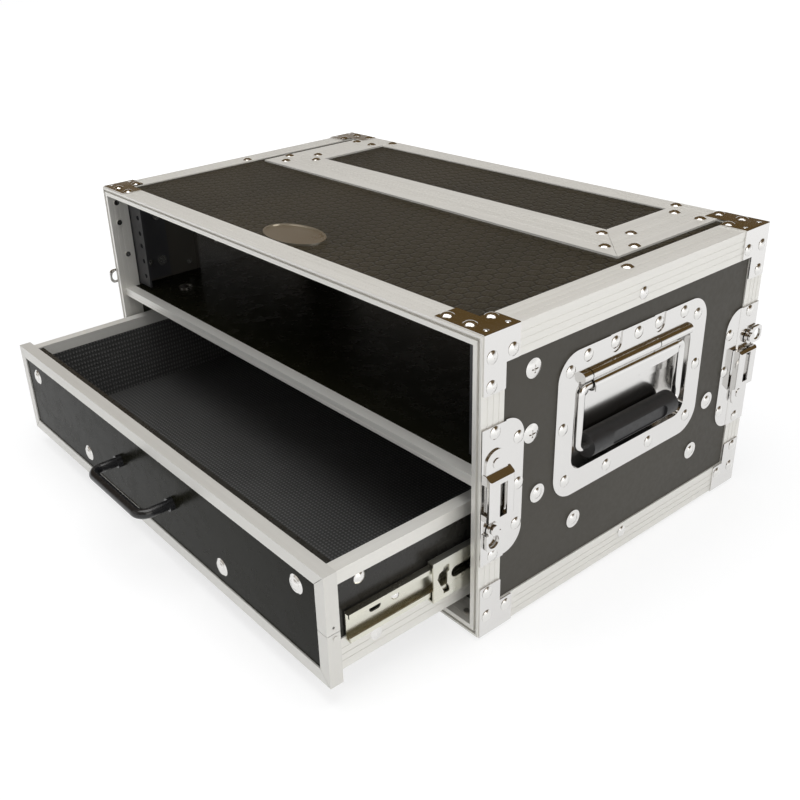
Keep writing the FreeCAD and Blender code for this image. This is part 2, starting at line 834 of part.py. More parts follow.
# Folded corner brace. Its own frame has its corner at the origin, X out and Z up.
def cornerBrace():
    body = newBody("brace")
    out = braceSheet
    front = braceInset
    back = braceBackReach
    arm = braceArmWide
    deep = braceInset + braceArmDeep
    fold = [(-arm, out), (out, out), (out, -arm), (nothing, -arm), (nothing, nothing), (-arm, nothing)]
    pad(body, "XZ", front, back, [fold])
    pad(body, "XY", nothing, out, [rectangle((-braceTopReach, front), (1 - arm, deep))])
    pad(body, "YZ", nothing, out, [rectangle((front, -braceSideReach), (deep, 1 - arm))])
    roundEdges(body, 1, [(out, out)], braceSheet * 0.9)
    roundEdges(body, 2, [(-braceTopReach, deep), (-braceTopReach, front), (-arm, back)], braceTip)
    roundEdges(body, 0, [(deep, -braceSideReach), (front, -braceSideReach), (back, -arm)], braceTip)
    return body


brace = cornerBrace()
document.recompute()
braceCopies = []
for high in (1, -1):
    for sideSign in (1, -1):
        for endSign in (-1, 1):
            shape = brace.Shape.copy()
            if sideSign < 0:
                shape = shape.mirror(Vector(), alongX)
            if endSign > 0:
                shape = shape.mirror(Vector(), alongY)
            if high < 0:
                shape = shape.mirror(Vector(), alongZ)
            height = caseTop if high > 0 else lift
            shape.translate(Vector(sideSign * halfWidth.number, endSign * halfDepth.number, height.number))
            braceCopies.append(shape)
drilled(grouped("brace_blanks", braceCopies), "corner_braces", caseDrills)

keep(grouped("case_rivets", [rivetShape(spot) for spot in topRivets + wallRivets]))
keep(grouped("base_rivets", [rivetShape(spot) for spot in baseRivets]))
keep(grouped("side_bolts", [broadBoltShape(spot) for spot in railBoltSpots()]
             + [boltShape(spot) for spot in washerBolts + shelfBoltSpots()]))


# Shelf board, notched round the two handle dishes, with an aluminium channel on both long edges
shelfHalf = halfWidth - wall - panelFit
shelfEdge = halfDepth - shelfSetBack
boardLow = aboveBase(shelfTop) - skin - shelfPly
notch = halfWidth - skin + handleSheet - dishDeep - handleSheet - panelFit * 2
notchLong = dishLong / 2 + handleSheet + 1
shelfDrills = grouped("shelf_drills", [spot.drill(boltDrill) for spot in shelfBoltSpots()])


def shelfBoard():
    body = newBody("shelf_body")
    edgeLine = shelfEdge - skin
    pad(body, "XY", boardLow, boardLow + shelfPly, [rectangle((-shelfHalf, -edgeLine), (shelfHalf, edgeLine))])
    for sign in (-1, 1):
        cut = rectangle((notch, -notchLong), (shelfHalf + 1, notchLong))
        if sign < 0:
            cut = mirroredCorners(cut)
        pocket(body, "XY", boardLow - 1, boardLow + shelfPly + 1, [cut])
    return drilled(body, "shelf_panel", shelfDrills)


def shelfTrim():
    body = newBody("shelf_trim")
    high = shelfPly + 2 * skin
    groove = ridgeDepth
    outline = [(nothing, nothing), (nothing, high * 0.35), (groove, high * 0.35), (groove, high * 0.65),
               (nothing, high * 0.65), (nothing, high), (shelfTrimLeg, high), (shelfTrimLeg, high - skin),
               (skin, high - skin), (skin, skin), (shelfTrimLeg, skin), (shelfTrimLeg, nothing)]
    pad(body, "YZ", -shelfHalf, shelfHalf, [outline])
    return body


shelfBoard()
trim = shelfTrim()
document.recompute()
trimLow = (boardLow - skin).number
halfTurn = turned(alongZ, 180)
keep(grouped("shelf_trims", [
    copied(trim.Shape, 0, -shelfEdge.number, trimLow, FreeCAD.Rotation()),
    copied(trim.Shape, 0, shelfEdge.number, trimLow, halfTurn)]))


# Angle brackets under the shelf
def shelfBracket():
    body = newBody("shelf_bracket")
    level = trimLow + skin.number
    top = boardLow
    across = innerSide - bracketReach
    outline = [(innerSide, top), (innerSide, top - bracketDrop), (innerSide - bracketSheet, top - bracketDrop),
               (innerSide - bracketSheet, top - bracketSheet), (across, top - bracketSheet), (across, top)]
    low = bracketBoltBack - bracketLength / 2
    pad(body, "XZ", low, low + bracketLength, [outline])
    return body


bracket = shelfBracket()
document.recompute()
bracketCopies = []
for sideSign in (1, -1):
    for endSign in (1, -1):
        shape = bracket.Shape.copy()
        if sideSign < 0:
            shape = shape.mirror(Vector(), alongX)
        if endSign < 0:
            shape = shape.mirror(Vector(), alongY)
        bracketCopies.append(shape)
bracketDrills = grouped("bracket_drills", [spot.drill(boltDrill) for spot in caseBolts + shelfBoltSpots()])
drilled(grouped("bracket_blanks", bracketCopies), "shelf_brackets", bracketDrills)


# Rack rails with the six holes of two units
def rackHoles():
    rise = [0, 1, 2]
    unit = rackUnit.number
    heights = []
    for number in range(2):
        for index in rise:
            heights.append(aboveBase(rackStart + rackHoleFirst + rackHoleStep * index + unit * number))
    return heights


def rackRail(label, side):
    body = newBody(label + "_body")
    face = railSetBack - halfDepth
    low = aboveBase(shelfTop) + railHeadroom
    high = panelHigh - railHeadroom
    legTop = aboveBase(railLegTop)
    sheetBack = face + railSheet
    outline = rectangle((innerSide - railFace, face), (innerSide, sheetBack))
    leg = rectangle((innerSide - railSheet, face), (innerSide, face + railLeg))
    if side < 0:
        outline = mirroredCorners(outline)
        leg = mirroredCorners(leg)
    pad(body, "XY", low, high, [outline])
    pad(body, "XY", low, legTop, [leg])
    holes = [(side * rackHoleSpread / 2, height, rackHoleRadius) for height in rackHoles()]
    pocket(body, "XZ", face - 1, sheetBack + 1, circles=holes)
    return drilled(body, label, railDrills)


railDrills = grouped("rail_drills", [spot.drill(boltDrill) for spot in railBoltSpots()]
                     + [spot.drill(railRelief) for spot in latchSpots()])
rackRail("rack_rail_left", -1)
rackRail("rack_rail_right", 1)


# Three grooved bars, mitred at the front corners, that reach the rear rim
def topFrame():
    body = newBody("top_frame_body")
    outer = frameOuterWidth / 2
    inner = outer - frameBar
    front = halfDepth - frameFront
    rear = halfDepth - rimFlange
    low = caseTop - skin
    high = low + frameThick
    run = groovedRun(inner, outer, high, -ridgeDepth, 5, outer - frameBar / 2)
    section = [(inner, low), (outer, low)] + run[::-1]
    pad(body, "XZ", front, rear, [section])
    seam = trimSeam / 2
    corner = [(outer + 1, front + seam - 1), (inner - 1, front + frameBar + 1 + seam),
              (inner - 1, front - 1), (outer + 1, front - 1)]
    pocket(body, "XY", low - 1, high + 1, [corner])
    return body


def frontFrameBar():
    body = newBody("front_frame_bar")
    outer = frameOuterWidth / 2
    front = halfDepth - frameFront
    low = caseTop - skin
    high = low + frameThick
    run = groovedRun(front, front + frameBar, high, -ridgeDepth, 5, front + frameBar / 2)
    section = [(front, low)] + run + [(front + frameBar, low)]
    pad(body, "YZ", -outer, outer, [section])
    seam = trimSeam / 2
    for sign in (-1, 1):
        corner = [(outer + 1, front - seam - 1), (outer + 1, front + frameBar + 1),
                  (outer - frameBar - 1, front + frameBar + 1 - seam)]
        if sign < 0:
            corner = mirroredCorners(corner)
        pocket(body, "XY", low - 1, high + 1, [corner])
    return body


sideBar = topFrame()
frontBar = frontFrameBar()
document.recompute()
frameBars = [sideBar.Shape.copy(), sideBar.Shape.mirror(Vector(), alongX), frontBar.Shape.copy()]
drilled(grouped("frame_blanks", frameBars), "top_frame", caseDrills)


# Bare oval badge with a raised rim
def badgePlate():
    low = (caseTop - skin).number
    middle = Vector(badgeAside.number, (badgeBack - halfDepth).number, low)

    def oval(inset, high):
        ellipse = Part.Ellipse(Vector(), badgeLong.number / 2 - inset, badgeWide.number / 2 - inset)
        face = Part.Face(Part.Wire([ellipse.toShape()]))
        return face.extrude(Vector(0, 0, high))

    plate = oval(0, badgeThick.number)
    hollow = oval(badgeRim.number, badgeThick.number)
    hollow.translate(Vector(0, 0, badgeThick.number / 2))
    feature = document.addObject("Part::Feature", "badge_plate")
    feature.Label = "badge_plate"
    feature.Shape = plate.cut(hollow)
    feature.Placement = FreeCAD.Placement(middle, FreeCAD.Rotation())
    return keep(feature)


badgePlate()


# Side handle. Its own frame has X out of the case side, Y along it and Z up from the base.
def handlePlace(thing, side):
    place(thing, side * halfWidth, 0, lift, halfTurn if side < 0 else None)


handleBack = -skin
dishTop = dishLow + dishHigh


def handleDish(label, side):
    body = newBody(label + "_body")
    front = handleBack + handleSheet
    reach = handlePlateLong / 2
    plateTop = handlePlateLow + handlePlateHigh
    pad(body, "YZ", handleBack, front, [rectangle((-reach, handlePlateLow), (reach, plateTop))])
    panReach = dishLong / 2 + handleSheet
    panFloor = front - dishDeep - handleSheet
    panLow = dishLow - handleSheet
    panTop = dishTop + handleSheet
    pad(body, "YZ", panFloor, handleBack, [rectangle((-panReach, panLow), (panReach, panTop))])
    hollow = rectangle((-dishLong / 2, dishLow), (dishLong / 2, dishTop))
    pocket(body, "YZ", front - dishDeep, front + 1, [hollow])
    roundEdges(body, 0, [(y, z) for y in (-reach, reach) for z in (handlePlateLow, plateTop)], handleCorner)
    outerSpots = [(y, z) for y in (-panReach, panReach) for z in (panLow, panTop)]
    roundEdges(body, 0, outerSpots, dishCorner + handleSheet)
    innerSpots = [(y, z) for y in (-dishLong / 2, dishLong / 2) for z in (dishLow, dishTop)]
    roundEdges(body, 0, innerSpots, dishCorner)
    notchHalf = plateNotchWide / 2
    for aside in (-plateNotchAside, plateNotchAside):
        floor = front - plateNotchDeep
        middle = plateNotchLow + notchHalf
        pocket(body, "YZ", floor, front + 1, circles=[(aside, middle, notchHalf)])
        pocket(body, "YZ", floor, front + 1,
               [rectangle((aside - notchHalf, middle), (aside + notchHalf, plateTop + 1))])
    ends = [-beadLong / 2, -(beadLong * beadGapLeft), beadLong * beadGapRight, beadLong / 2]
    for start, end in zip(ends, ends[1:]):
        pad(body, "XZ", start, end - beadGapWide, circles=[(beadOut, beadHigh, beadRadius)])
    handlePlace(body, side)
    return drilled(body, label, caseDrills)


# The sleeve that the handle turns in, on a leaf riveted to the back of the dish
def handleBracket(label, side):
    body = newBody(label + "_body")
    floor = handleBack + handleSheet - dishDeep
    leaf = floor + hingeSheet
    tab = leaf + hingeSheet
    reach = hingeLeafLong / 2
    half = sleeveLong / 2
    pad(body, "YZ", floor, leaf, [rectangle((-reach, hingeLeafLow), (reach, bailPivotHigh))])
    for step in (-1, 0, 1):
        middle = hingeRivetAside * step
        tabHalf = hingeTabWide / 2
        outline = rectangle((middle - tabHalf, hingeTabLow), (middle + tabHalf, bailPivotHigh))
        if step:
            edge = half * step
            inner = middle - tabHalf * step
            outline = [(inner, hingeTabLow), (edge, hingeTabLow), (edge, bailPivotHigh), (inner, bailPivotHigh)]
        pad(body, "YZ", leaf, tab, [outline])
    bridge = [(leaf, bailPivotHigh - sleeveRadius / 2), (bailPivotOut, bailPivotHigh - sleeveRadius / 2),
              (bailPivotOut, bailPivotHigh), (leaf, bailPivotHigh)]
    pad(body, "XZ", -half, half, [bridge])
    axis = (bailPivotOut, bailPivotHigh)
    pad(body, "XZ", -half, half, circles=[axis + (sleeveRadius,)])
    apronFront = bailPivotOut + sleeveRadius
    apronLow = bailPivotHigh - apronDrop
    flat = half - apronTaper
    tabEnd = apronTabWide / 2
    tip = tabEnd / 2
    apron = [(-half, bailPivotHigh), (-half, apronLow + apronTab), (-flat, apronLow), (-tabEnd, apronLow),
             (-tip, apronLow - apronTab), (tip, apronLow - apronTab), (tabEnd, apronLow), (flat, apronLow),
             (half, apronLow + apronTab), (half, bailPivotHigh)]
    pad(body, "YZ", apronFront - hingeSheet, apronFront, [apron])
    pocket(body, "XZ", -half - 1, half + 1, circles=[axis + (bailPin + bailFit,)])
    for start in (-half - 1, half - sleeveMouthDeep):
        pocket(body, "XZ", start, start + sleeveMouthDeep + 1, circles=[axis + (sleeveMouth,)])
    handlePlace(body, side)
    return drilled(body, label, caseDrills)


# A round bar along a bent line, from the corners of the line and the radius of its bends
def bentBar(corners, bend, radius):
    edges = []
    last = corners[0]
    for index in range(1, len(corners) - 1):
        corner = corners[index]
        before = (corners[index - 1] - corner).normalize()
        after = (corners[index + 1] - corner).normalize()
        enter = corner + before * bend
        leave = corner + after * bend
        centre = corner + (before + after) * bend
        middle = centre + (corner - centre).normalize() * bend
        edges.append(Part.LineSegment(last, enter).toShape())
        edges.append(Part.Arc(enter, middle, leave).toShape())
        last = leave
    edges.append(Part.LineSegment(last, corners[-1]).toShape())
    spine = Part.Wire(edges)
    ring = Part.Wire([Part.Circle(corners[0], corners[1] - corners[0], radius).toShape()])
    return spine.makePipeShell([ring], True, True)


def handleBail(label, side):
    half = bailSpread.number / 2
    out = bailPivotOut.number
    high = bailPivotHigh.number
    low = high - bailDrop.number
    stub = (sleeveLong / 2 - sleeveMouthDeep + bailEndPlay).number
    corners = [Vector(out, -stub, high), Vector(out, -half, high), Vector(out, -half, low),
               Vector(out, half, low), Vector(out, half, high), Vector(out, stub, high)]
    bar = bentBar(corners, bailBend.number, bailRod.number)
    pinLong = bailStub.number
    for sign in (-1, 1):
        start = Vector(out, sign * stub, high)
        bar = bar.fuse(Part.makeCylinder(bailPin.number, pinLong, start, Vector(0, -sign, 0)))
    feature = document.addObject("Part::Feature", label)
    feature.Label = label
    feature.Shape = bar
    handlePlace(feature, side)
    return keep(feature)


def handleGrip(label, side):
    body = newBody(label)
    axisHigh = bailPivotHigh - bailDrop
    half = gripLong / 2
    pad(body, "XZ", -half, half, circles=[(bailPivotOut, axisHigh, gripRadius)])
    pocket(body, "XZ", -half - 1, half + 1, circles=[(bailPivotOut, axisHigh, bailRod)])
    surface = bailPivotOut + gripRadius
    low = (gripRecessAside - gripRecessLong / 2, axisHigh - gripRecessWide / 2)
    high = (gripRecessAside + gripRecessLong / 2, axisHigh + gripRecessWide / 2)
    pocket(body, "YZ", surface - gripRecessDeep, surface + 1, [rectangle(low, high)])
    roundEdges(body, 0, [(y, z) for y in (low[0], high[0]) for z in (low[1], high[1])], gripRecessCorner)
    handlePlace(body, side)
    return keep(body)


# Torsion springs in the hinge barrels
def handleSprings():
    coil = springWall.number / 2
    radius = bailPin.number - springWall.number
    sides = 8
    springs = []
    for side in (-1, 1):
        helix = Part.makeHelix(springPitch.number, springLong.number, radius)
        turns = [2 * math.pi * index / sides for index in range(sides)]
        corners = [Vector(radius + coil * math.cos(turn), 0, coil * math.sin(turn)) for turn in turns]
        section = Part.makePolygon(corners + [corners[0]])
        wire = Part.Wire(helix).makePipeShell([section], True, True)
        wire.Placement = FreeCAD.Placement(
            Vector(side * (halfWidth + bailPivotOut).number, springLong.number / 2, (lift + bailPivotHigh).number),
            turned(alongX, 90))
        springs.append(wire)
    return keep(grouped("handle_springs", springs))


for handleName, handleSide in (("left", -1), ("right", 1)):
    handleDish("handle_dish_" + handleName, handleSide)
    handleBracket("handle_bracket_" + handleName, handleSide)
    handleBail("handle_bail_" + handleName, handleSide)
    handleGrip("handle_grip_" + handleName, handleSide)
handleSprings()


# Lid latch. Its own frame has X out of the case side, Y in from the case's edge and Z up from the
# latch's middle. The one at the front on the right stands upright in it.
coverSeat = latchSheet
coverTop = coverSeat + coverRise
keyFace = coverSeat + keyRise


def latchTurn(side, end, upright):
    if side > 0:
        return FreeCAD.Rotation() if upright > 0 else turned(alongX, 180)
    return halfTurn if upright > 0 else turned(alongY, 180)


def latchPlace(thing, corner, y=0, z=0, extra=None):
    side, end, upright = corner
    rotation = latchTurn(side, end, upright)
    if extra is not None:
        rotation = rotation.multiply(extra)
    into = asSize(y)
    rise = asSize(z)
    place(thing, side * halfWidth, end * halfDepth - end * into, lift + latchMiddle + upright * rise, rotation)


def latchPlate():
    body = newBody("latch_plate")
    start = asSize(0.5)
    end = latchDeep + start
    half = latchHigh / 2
    step = rimFlange + panelFit
    under = -skin
    over = latchSheet - skin
    outline = [(nothing, start), (latchSheet, start), (latchSheet, step + 1), (over, step + 2), (over, end),
               (under, end), (under, step), (nothing, step)]
    pad(body, "XY", -half, half, [outline])
    roundEdges(body, 0, [(end, half), (end, -half)], latchCorner - 1)
    post = keyFace + keyThick + keyGap
    pad(body, "YZ", coverSeat, post, circles=[(keyPivotFront, -keyPivotDrop, keyPost)])
    pad(body, "YZ", post, post + keyHeadHigh, circles=[(keyPivotFront, -keyPivotDrop, keyHead)])
    return body


def latchCover():
    body = newBody("latch_cover")
    back = coverFront + coverDeep
    fold = coverHigh - coverSlope
    tabTop = coverSeat + latchSheet
    outside = [(coverSeat, -coverLow), (coverTop - coverEase, -coverLow), (coverTop, coverEase - coverLow),
               (coverTop, fold), (tabTop, coverHigh), (coverSeat, coverHigh)]
    pad(body, "XZ", coverFront, back, [outside])
    roundEdges(body, 2, [(coverTop, coverFront), (coverTop, back)], coverRound)
    ceiling = coverTop - latchSheet
    inside = [(coverSeat, latchSheet - coverLow), (ceiling - coverEase, latchSheet - coverLow),
              (ceiling, latchSheet + coverEase - coverLow), (ceiling, fold - 1),
              (coverSeat, coverHigh - 2 * latchSheet)]
    pocket(body, "XZ", coverFront + latchSheet, back - latchSheet, [inside])
    window = rectangle((slotFront, -slotLow), (slotFront + slotWide, slotHigh))
    pocket(body, "YZ", ceiling - 1, coverTop + 1, [window])
    mouth = boltHigh / 2 + 0.5
    pocket(body, "XZ", coverFront - 1, coverFront + latchSheet + 1,
           [rectangle((coverSeat, -mouth), (coverSeat + boltThick + 1.2, mouth))])
    tabHalf = tabHigh - tabRivetHigh
    tabAxis = coverFront + 0.4 + tabHalf
    neck = rectangle((tabAxis - tabHalf, coverHigh - 2), (tabAxis + tabHalf, tabRivetHigh))
    pad(body, "YZ", coverSeat, tabTop, circles=[(tabAxis, tabRivetHigh, tabHalf)])
    pad(body, "YZ", coverSeat, tabTop, [neck])
    pad(body, "YZ", tabTop, tabTop + 0.6, circles=[(tabAxis, tabRivetHigh, rivetHeadRadius - 1)])
    return body


def latchKey(label, corner):
    body = newBody(label)
    eye = keyEyeOuter
    arm = rectangle((-keyArmWide / 2, -keyReach), (keyArmWide / 2, nothing))
    pad(body, "YZ", keyFace, keyFace + keyThick, circles=[(nothing, nothing, keyHub)])
    pad(body, "YZ", keyFace, keyFace + keyThick, [arm])
    square = rectangle((-eye, -keyReach - eye), (eye, eye - keyReach))
    pad(body, "YZ", keyFace, keyFace + keyThick, [square])
    roundEdges(body, 0, [(-eye, -keyReach - eye), (eye, -keyReach - eye)], keyEyeCorner)
    pocket(body, "YZ", keyFace - 1, keyFace + keyThick + 1, circles=[(nothing, -keyReach, keyEyeHole)])
    pocket(body, "YZ", coverSeat, keyFace + keyThick + 1, circles=[(nothing, nothing, keyPost + keyFit)])
    standsOut = corner[2] < 0
    latchPlace(body, corner, keyPivotFront, -keyPivotDrop, turned(alongX, -90) if standsOut else None)
    return keep(body)


def latchHook(label, corner):
    body = newBody(label)
    low = coverSeat + 0.3
    start = coverFront + latchSheet + 0.8
    if corner[2] < 0:
        start = start - boltStroke
    half = boltHigh / 2
    pad(body, "YZ", low, low + boltThick, [rectangle((start, -half), (start + boltLong, half))])
    rib = start + 6.5
    pad(body, "YZ", low + boltThick, low + boltThick + 2.4, [rectangle((rib, 2 - half), (rib + 2, half - 2))])
    latchPlace(body, corner)
    return keep(body)


def placedCopy(shape, corner):
    side, end, upright = corner
    moved = shape.copy()
    base = Vector(side * halfWidth.number, end * halfDepth.number, aboveBase(latchMiddle).number)
    moved.Placement = FreeCAD.Placement(base, latchTurn(side, end, upright))
    return moved


plateBody = latchPlate()
coverBody = latchCover()
document.recompute()
for corner in latchCorners():
    spotName = "%s_%s" % ("front" if corner[1] < 0 else "rear", "left" if corner[0] < 0 else "right")
    copies = [placedCopy(blank.Shape, corner) for blank in (plateBody, coverBody)]
    drilled(grouped("latch_blank_" + spotName, copies), "latch_body_" + spotName, caseDrills)
    latchKey("latch_key_" + spotName, corner)
    latchHook("latch_hook_" + spotName, corner)


# Drawer, drawn where it stands open
drawerFace = drawerInset - halfDepth - drawerOpen
frontHalf = drawerFrontWidth / 2
frontLow = aboveBase(drawerFrontLow)
frontHigh = frontLow + drawerFrontHigh
panelFace = drawerFace + trimSkin
boxFront = drawerFace + drawerFrontThick
boxRear = boxFront + boxDepth
boxHalf = innerSide - slideThick - 0.1
plyOut = boxHalf - trimSkin
plyIn = plyOut - boxPly
boxBase = aboveBase(boxLow)
boxTop = aboveBase(boxHigh)
floorLow = boxBase + trimSkin
floorTop = floorLow + boxFloor


# Bolts of the front go through the panel into the box. Their frame has Z towards the front.
def drawerSpots():
    spots = []
    face = panelFace.number
    grip = (drawerFrontThick - trimSkin + boxWall).number
    for side in (-1, 1):
        for across, high in ((frontBoltOuter, frontBoltUpper), (frontBoltInner, frontBoltLower)):
            base = Vector(side * across.number, face, aboveBase(high).number)
            spots.append(Spot(base, -alongY, 0, grip))
    return spots


def pullSpots():
    face = panelFace.number
    grip = (drawerFrontThick - trimSkin).number
    height = aboveBase(pullHigh).number
    return [Spot(Vector(side * pullSpread.number / 2, face, height), -alongY, 0, grip) for side in (-1, 1)]


def boxRivetSpots():
    spots = []
    front = boxFront.number
    rear = boxRear.number
    for side in (-1, 1):
        for y in (front + boxRivetInset.number, rear - boxRivetInset.number):
            base = Vector(side * boxHalf.number, y, aboveBase(boxRivetHigh).number)
            spots.append(Spot(base, Vector(side, 0, 0), -trimSkin, boxPly + trimSkin - 1))
        for y in (front + flatRivetInset.number, (front + rear) / 2, rear - flatRivetInset.number):
            base = Vector(side * boxHalf.number, y, aboveBase(flatRivetHigh).number)
            spots.append(Spot(base, Vector(side, 0, 0), 0, boxPly + trimSkin - 1))
    return spots


def slideScrewSpots():
    spots = []
    seat = 0.1 + slideSheet
    front = slideFront - halfDepth - drawerOpen
    for side in (-1, 1):
        for back in (41.3, 150, 236):
            height = aboveBase(slideMiddle + slideScrewRise).number
            base = Vector(side * boxHalf.number, (front + back).number, height)
            spots.append(Spot(base, Vector(side, 0, 0), seat, boxPly + trimSkin - 1))
    return spots


# A fastener that ends inside the wood
def blindShape(spot, radius, height, washer=False):
    top = spot.seat
    corners = [(0, -spot.grip), (rivetShank.number, -spot.grip), (rivetShank.number, top)]
    if washer:
        raised = top + washerHeight.number
        corners += [(washerRadius.number, top), (washerRadius.number - washerSlope.number, raised)]
        top = raised
    corners.append((radius, top))
    return spot.placed(turnedSolid(corners, height))


headRadius = rivetHeadRadius.number
headHeight = rivetHeadHeight.number
sideRivets = [spot for spot in boxRivetSpots() if spot.seat < 0]
flatRivets = [spot for spot in boxRivetSpots() if spot.seat >= 0]
drawerFasteners = [blindShape(spot, boltHeadRadius.number, boltHeadHeight.number, True) for spot in drawerSpots()]
drawerFasteners += [blindShape(spot, headRadius, headHeight) for spot in sideRivets]
drawerFasteners += [blindShape(spot, headRadius, 0.8) for spot in flatRivets]
drawerFasteners += [blindShape(spot, 3.4, 1.8) for spot in slideScrewSpots()]
keep(grouped("drawer_fasteners", drawerFasteners))
drawerDrills = grouped("drawer_drills", [
    spot.drill(shankDrill) for spot in drawerSpots() + boxRivetSpots() + slideScrewSpots() + pullSpots()])


def drawerFrontPanel():
    body = newBody("drawer_front_body")
    half = frontHalf - trimSkin
    face = rectangle((-half, frontLow + trimSkin), (half, frontHigh - trimSkin))
    pad(body, "XZ", panelFace, boxFront - trimSkin, [face])
    return drilled(body, "drawer_front_panel", drawerDrills)


# One channel bent round the front panel, closed by a joint on its right side
def drawerFrontTrim():
    body = newBody("drawer_front_trim")
    window = rectangle((trimBand - frontHalf, frontLow + trimBand), (frontHalf - trimBand, frontHigh - trimBand))
    half = frontHalf - trimSkin
    slot = rectangle((-half, frontLow + trimSkin), (half, frontHigh - trimSkin))
    pad(body, "XZ", drawerFace, boxFront, [rectangle((-frontHalf, frontLow), (frontHalf, frontHigh))])
    pocket(body, "XZ", drawerFace - 1, boxFront + 1, [window])
    pocket(body, "XZ", panelFace, boxFront - trimSkin, [slot])
    near = 1.2
    far = trimBand + 1
    for side in (-1, 1):
        for edgeHigh, inward in ((frontLow, 1), (frontHigh, -1)):
            seam = [(frontHalf - near - trimSeam, edgeHigh + inward * near),
                    (frontHalf - near, edgeHigh + inward * near),
                    (frontHalf - far, edgeHigh + inward * far),
                    (frontHalf - far - trimSeam, edgeHigh + inward * far)]
            if side < 0:
                seam = mirroredCorners(seam)
            pocket(body, "XZ", drawerFace - 1, panelFace, [seam])
    joint = frontLow + trimSeamHigh
    pocket(body, "XZ", drawerFace - 1, boxFront + 1,
           [rectangle((frontHalf - trimBand - 1, joint), (frontHalf + 1, joint + trimSeam))])
    pocket(body, "YZ", half - 1, frontHalf + 1, circles=[(drawerFace + 5.5, joint + 5, 1)])
    pad(body, "YZ", frontHalf, frontHalf + 0.6, circles=[(drawerFace + 6.5, joint - 4, 2)])
    return keep(body)


def drawerSide(label, side):
    body = newBody(label + "_body")
    low = plyIn if side > 0 else -plyOut
    profile = rectangle((boxFront, floorLow), (boxRear, boxTop - trimSkin))
    pad(body, "YZ", low, low + boxPly, [profile])
    return drilled(body, label, drawerDrills)


def drawerFloor():
    body = newBody("drawer_floor")
    pad(body, "XY", floorLow, floorTop, [rectangle((-plyIn, boxFront), (plyIn, boxRear))])
    return keep(body)


def drawerEnds():
    half = plyIn - trimSkin - 0.2
    walls = []
    for start, name in ((boxFront, "front"), (boxRear - boxWall, "rear")):
        body = newBody("drawer_end_" + name)
        pad(body, "XZ", start, start + boxWall, [rectangle((-half, floorTop), (half, boxTop - trimSkin))])
        walls.append(body)
    document.recompute()
    blank = grouped("drawer_end_blanks", [body.Shape.copy() for body in walls])
    return drilled(blank, "drawer_end_walls", drawerDrills)


def drawerLining():
    body = newBody("drawer_lining")
    front = boxFront + boxWall
    rear = boxRear - boxWall
    top = boxTop - topTrimLeg - 0.3
    pad(body, "XY", floorTop, top, [rectangle((-plyIn, front), (plyIn, rear))])
    inner = rectangle((lining - plyIn, front + lining), (plyIn - lining, rear - lining))
    pocket(body, "XY", floorTop + lining, top + 1, [inner])
    return keep(body)


def topTrim():
    body = newBody("box_top_trim")
    out = boxHalf
    inside = plyIn - trimSkin
    low = boxTop - topTrimLeg
    outline = [(out, low), (out, boxTop), (inside, boxTop), (inside, low), (plyIn, low),
               (plyIn, boxTop - trimSkin), (plyOut, boxTop - trimSkin), (plyOut, low)]
    pad(body, "XZ", boxFront, boxRear, [outline])
    return body


def baseTrim():
    body = newBody("box_base_trim")
    out = boxHalf
    top = boxBase + baseFlange
    across = boxHalf - baseFlange
    run = groovedRun(boxBase, top, out, -ridgeDepth, 3, boxBase + baseFlange / 2)
    outline = swapped(run) + [(plyOut, top), (plyOut, floorLow), (across, floorLow), (across, boxBase)]
    pad(body, "XZ", boxFront, boxRear, [outline])
    return body


def pairOf(body):
    return [body.Shape.copy(), body.Shape.mirror(Vector(), alongX)]


drawerFrontPanel()
drawerFrontTrim()
drawerSide("drawer_side_left", -1)
drawerSide("drawer_side_right", 1)
drawerFloor()
drawerEnds()
drawerLining()
upperTrim = topTrim()
lowerTrim = baseTrim()
document.recompute()
keep(grouped("drawer_top_trims", pairOf(upperTrim)))
drilled(grouped("base_trim_blanks", pairOf(lowerTrim)), "drawer_base_trims", drawerDrills)


# Black bent pull with a collar and a threaded end at each foot
def drawerPull():
    half = pullSpread.number / 2
    face = panelFace.number
    reach = pullReach.number
    high = aboveBase(pullHigh).number
    out = face - reach
    corners = [Vector(-half, face, high), Vector(-half, out, high), Vector(half, out, high), Vector(half, face, high)]
    bar = bentBar(corners, pullBend.number, pullRod.number)
    through = (drawerFrontThick - trimSkin - 1).number
    for side in (-1, 1):
        foot = Vector(side * half, face, high)
        bar = bar.fuse(Part.makeCylinder(pullCollar.number, pullCollarLong.number, foot, -alongY))
        bar = bar.fuse(Part.makeCylinder(rivetShank.number, through, foot, alongY))
    feature = document.addObject("Part::Feature", "drawer_pull")
    feature.Label = "drawer_pull"
    feature.Shape = bar
    return keep(feature)


drawerPull()


# Ball-bearing slides in three nested lengths
slideHeight = aboveBase(slideMiddle)
slideStart = slideFront - halfDepth
slideWall = innerSide - slideThick


# A channel with its web at one X and its two flanges reaching to another
def slideChannel(label, webOut, webIn, flangeEnd, high, start, slots, holes):
    body = newBody(label)
    half = high / 2
    inner = half - slideSheet
    lip = inner - slideLip
    back = slideSheet if webOut.number > webIn.number else -slideSheet
    upper = [(webOut, half), (flangeEnd, half), (flangeEnd, lip), (flangeEnd + back, lip),
             (flangeEnd + back, inner), (webIn, inner)]
    edges = [(x, slideHeight + z) for x, z in upper] + [(x, slideHeight - z) for x, z in reversed(upper)]
    pad(body, "XZ", start, start + slideLong, [edges])
    low = webOut if webOut.number < webIn.number else webIn
    for straight, ends in slots:
        pocket(body, "YZ", low - 1, low + slideSheet + 1, [straight])
        pocket(body, "YZ", low - 1, low + slideSheet + 1, circles=ends)
    for hole in holes:
        pocket(body, "YZ", low - 1, low + slideSheet + 1, [hole])
    return body


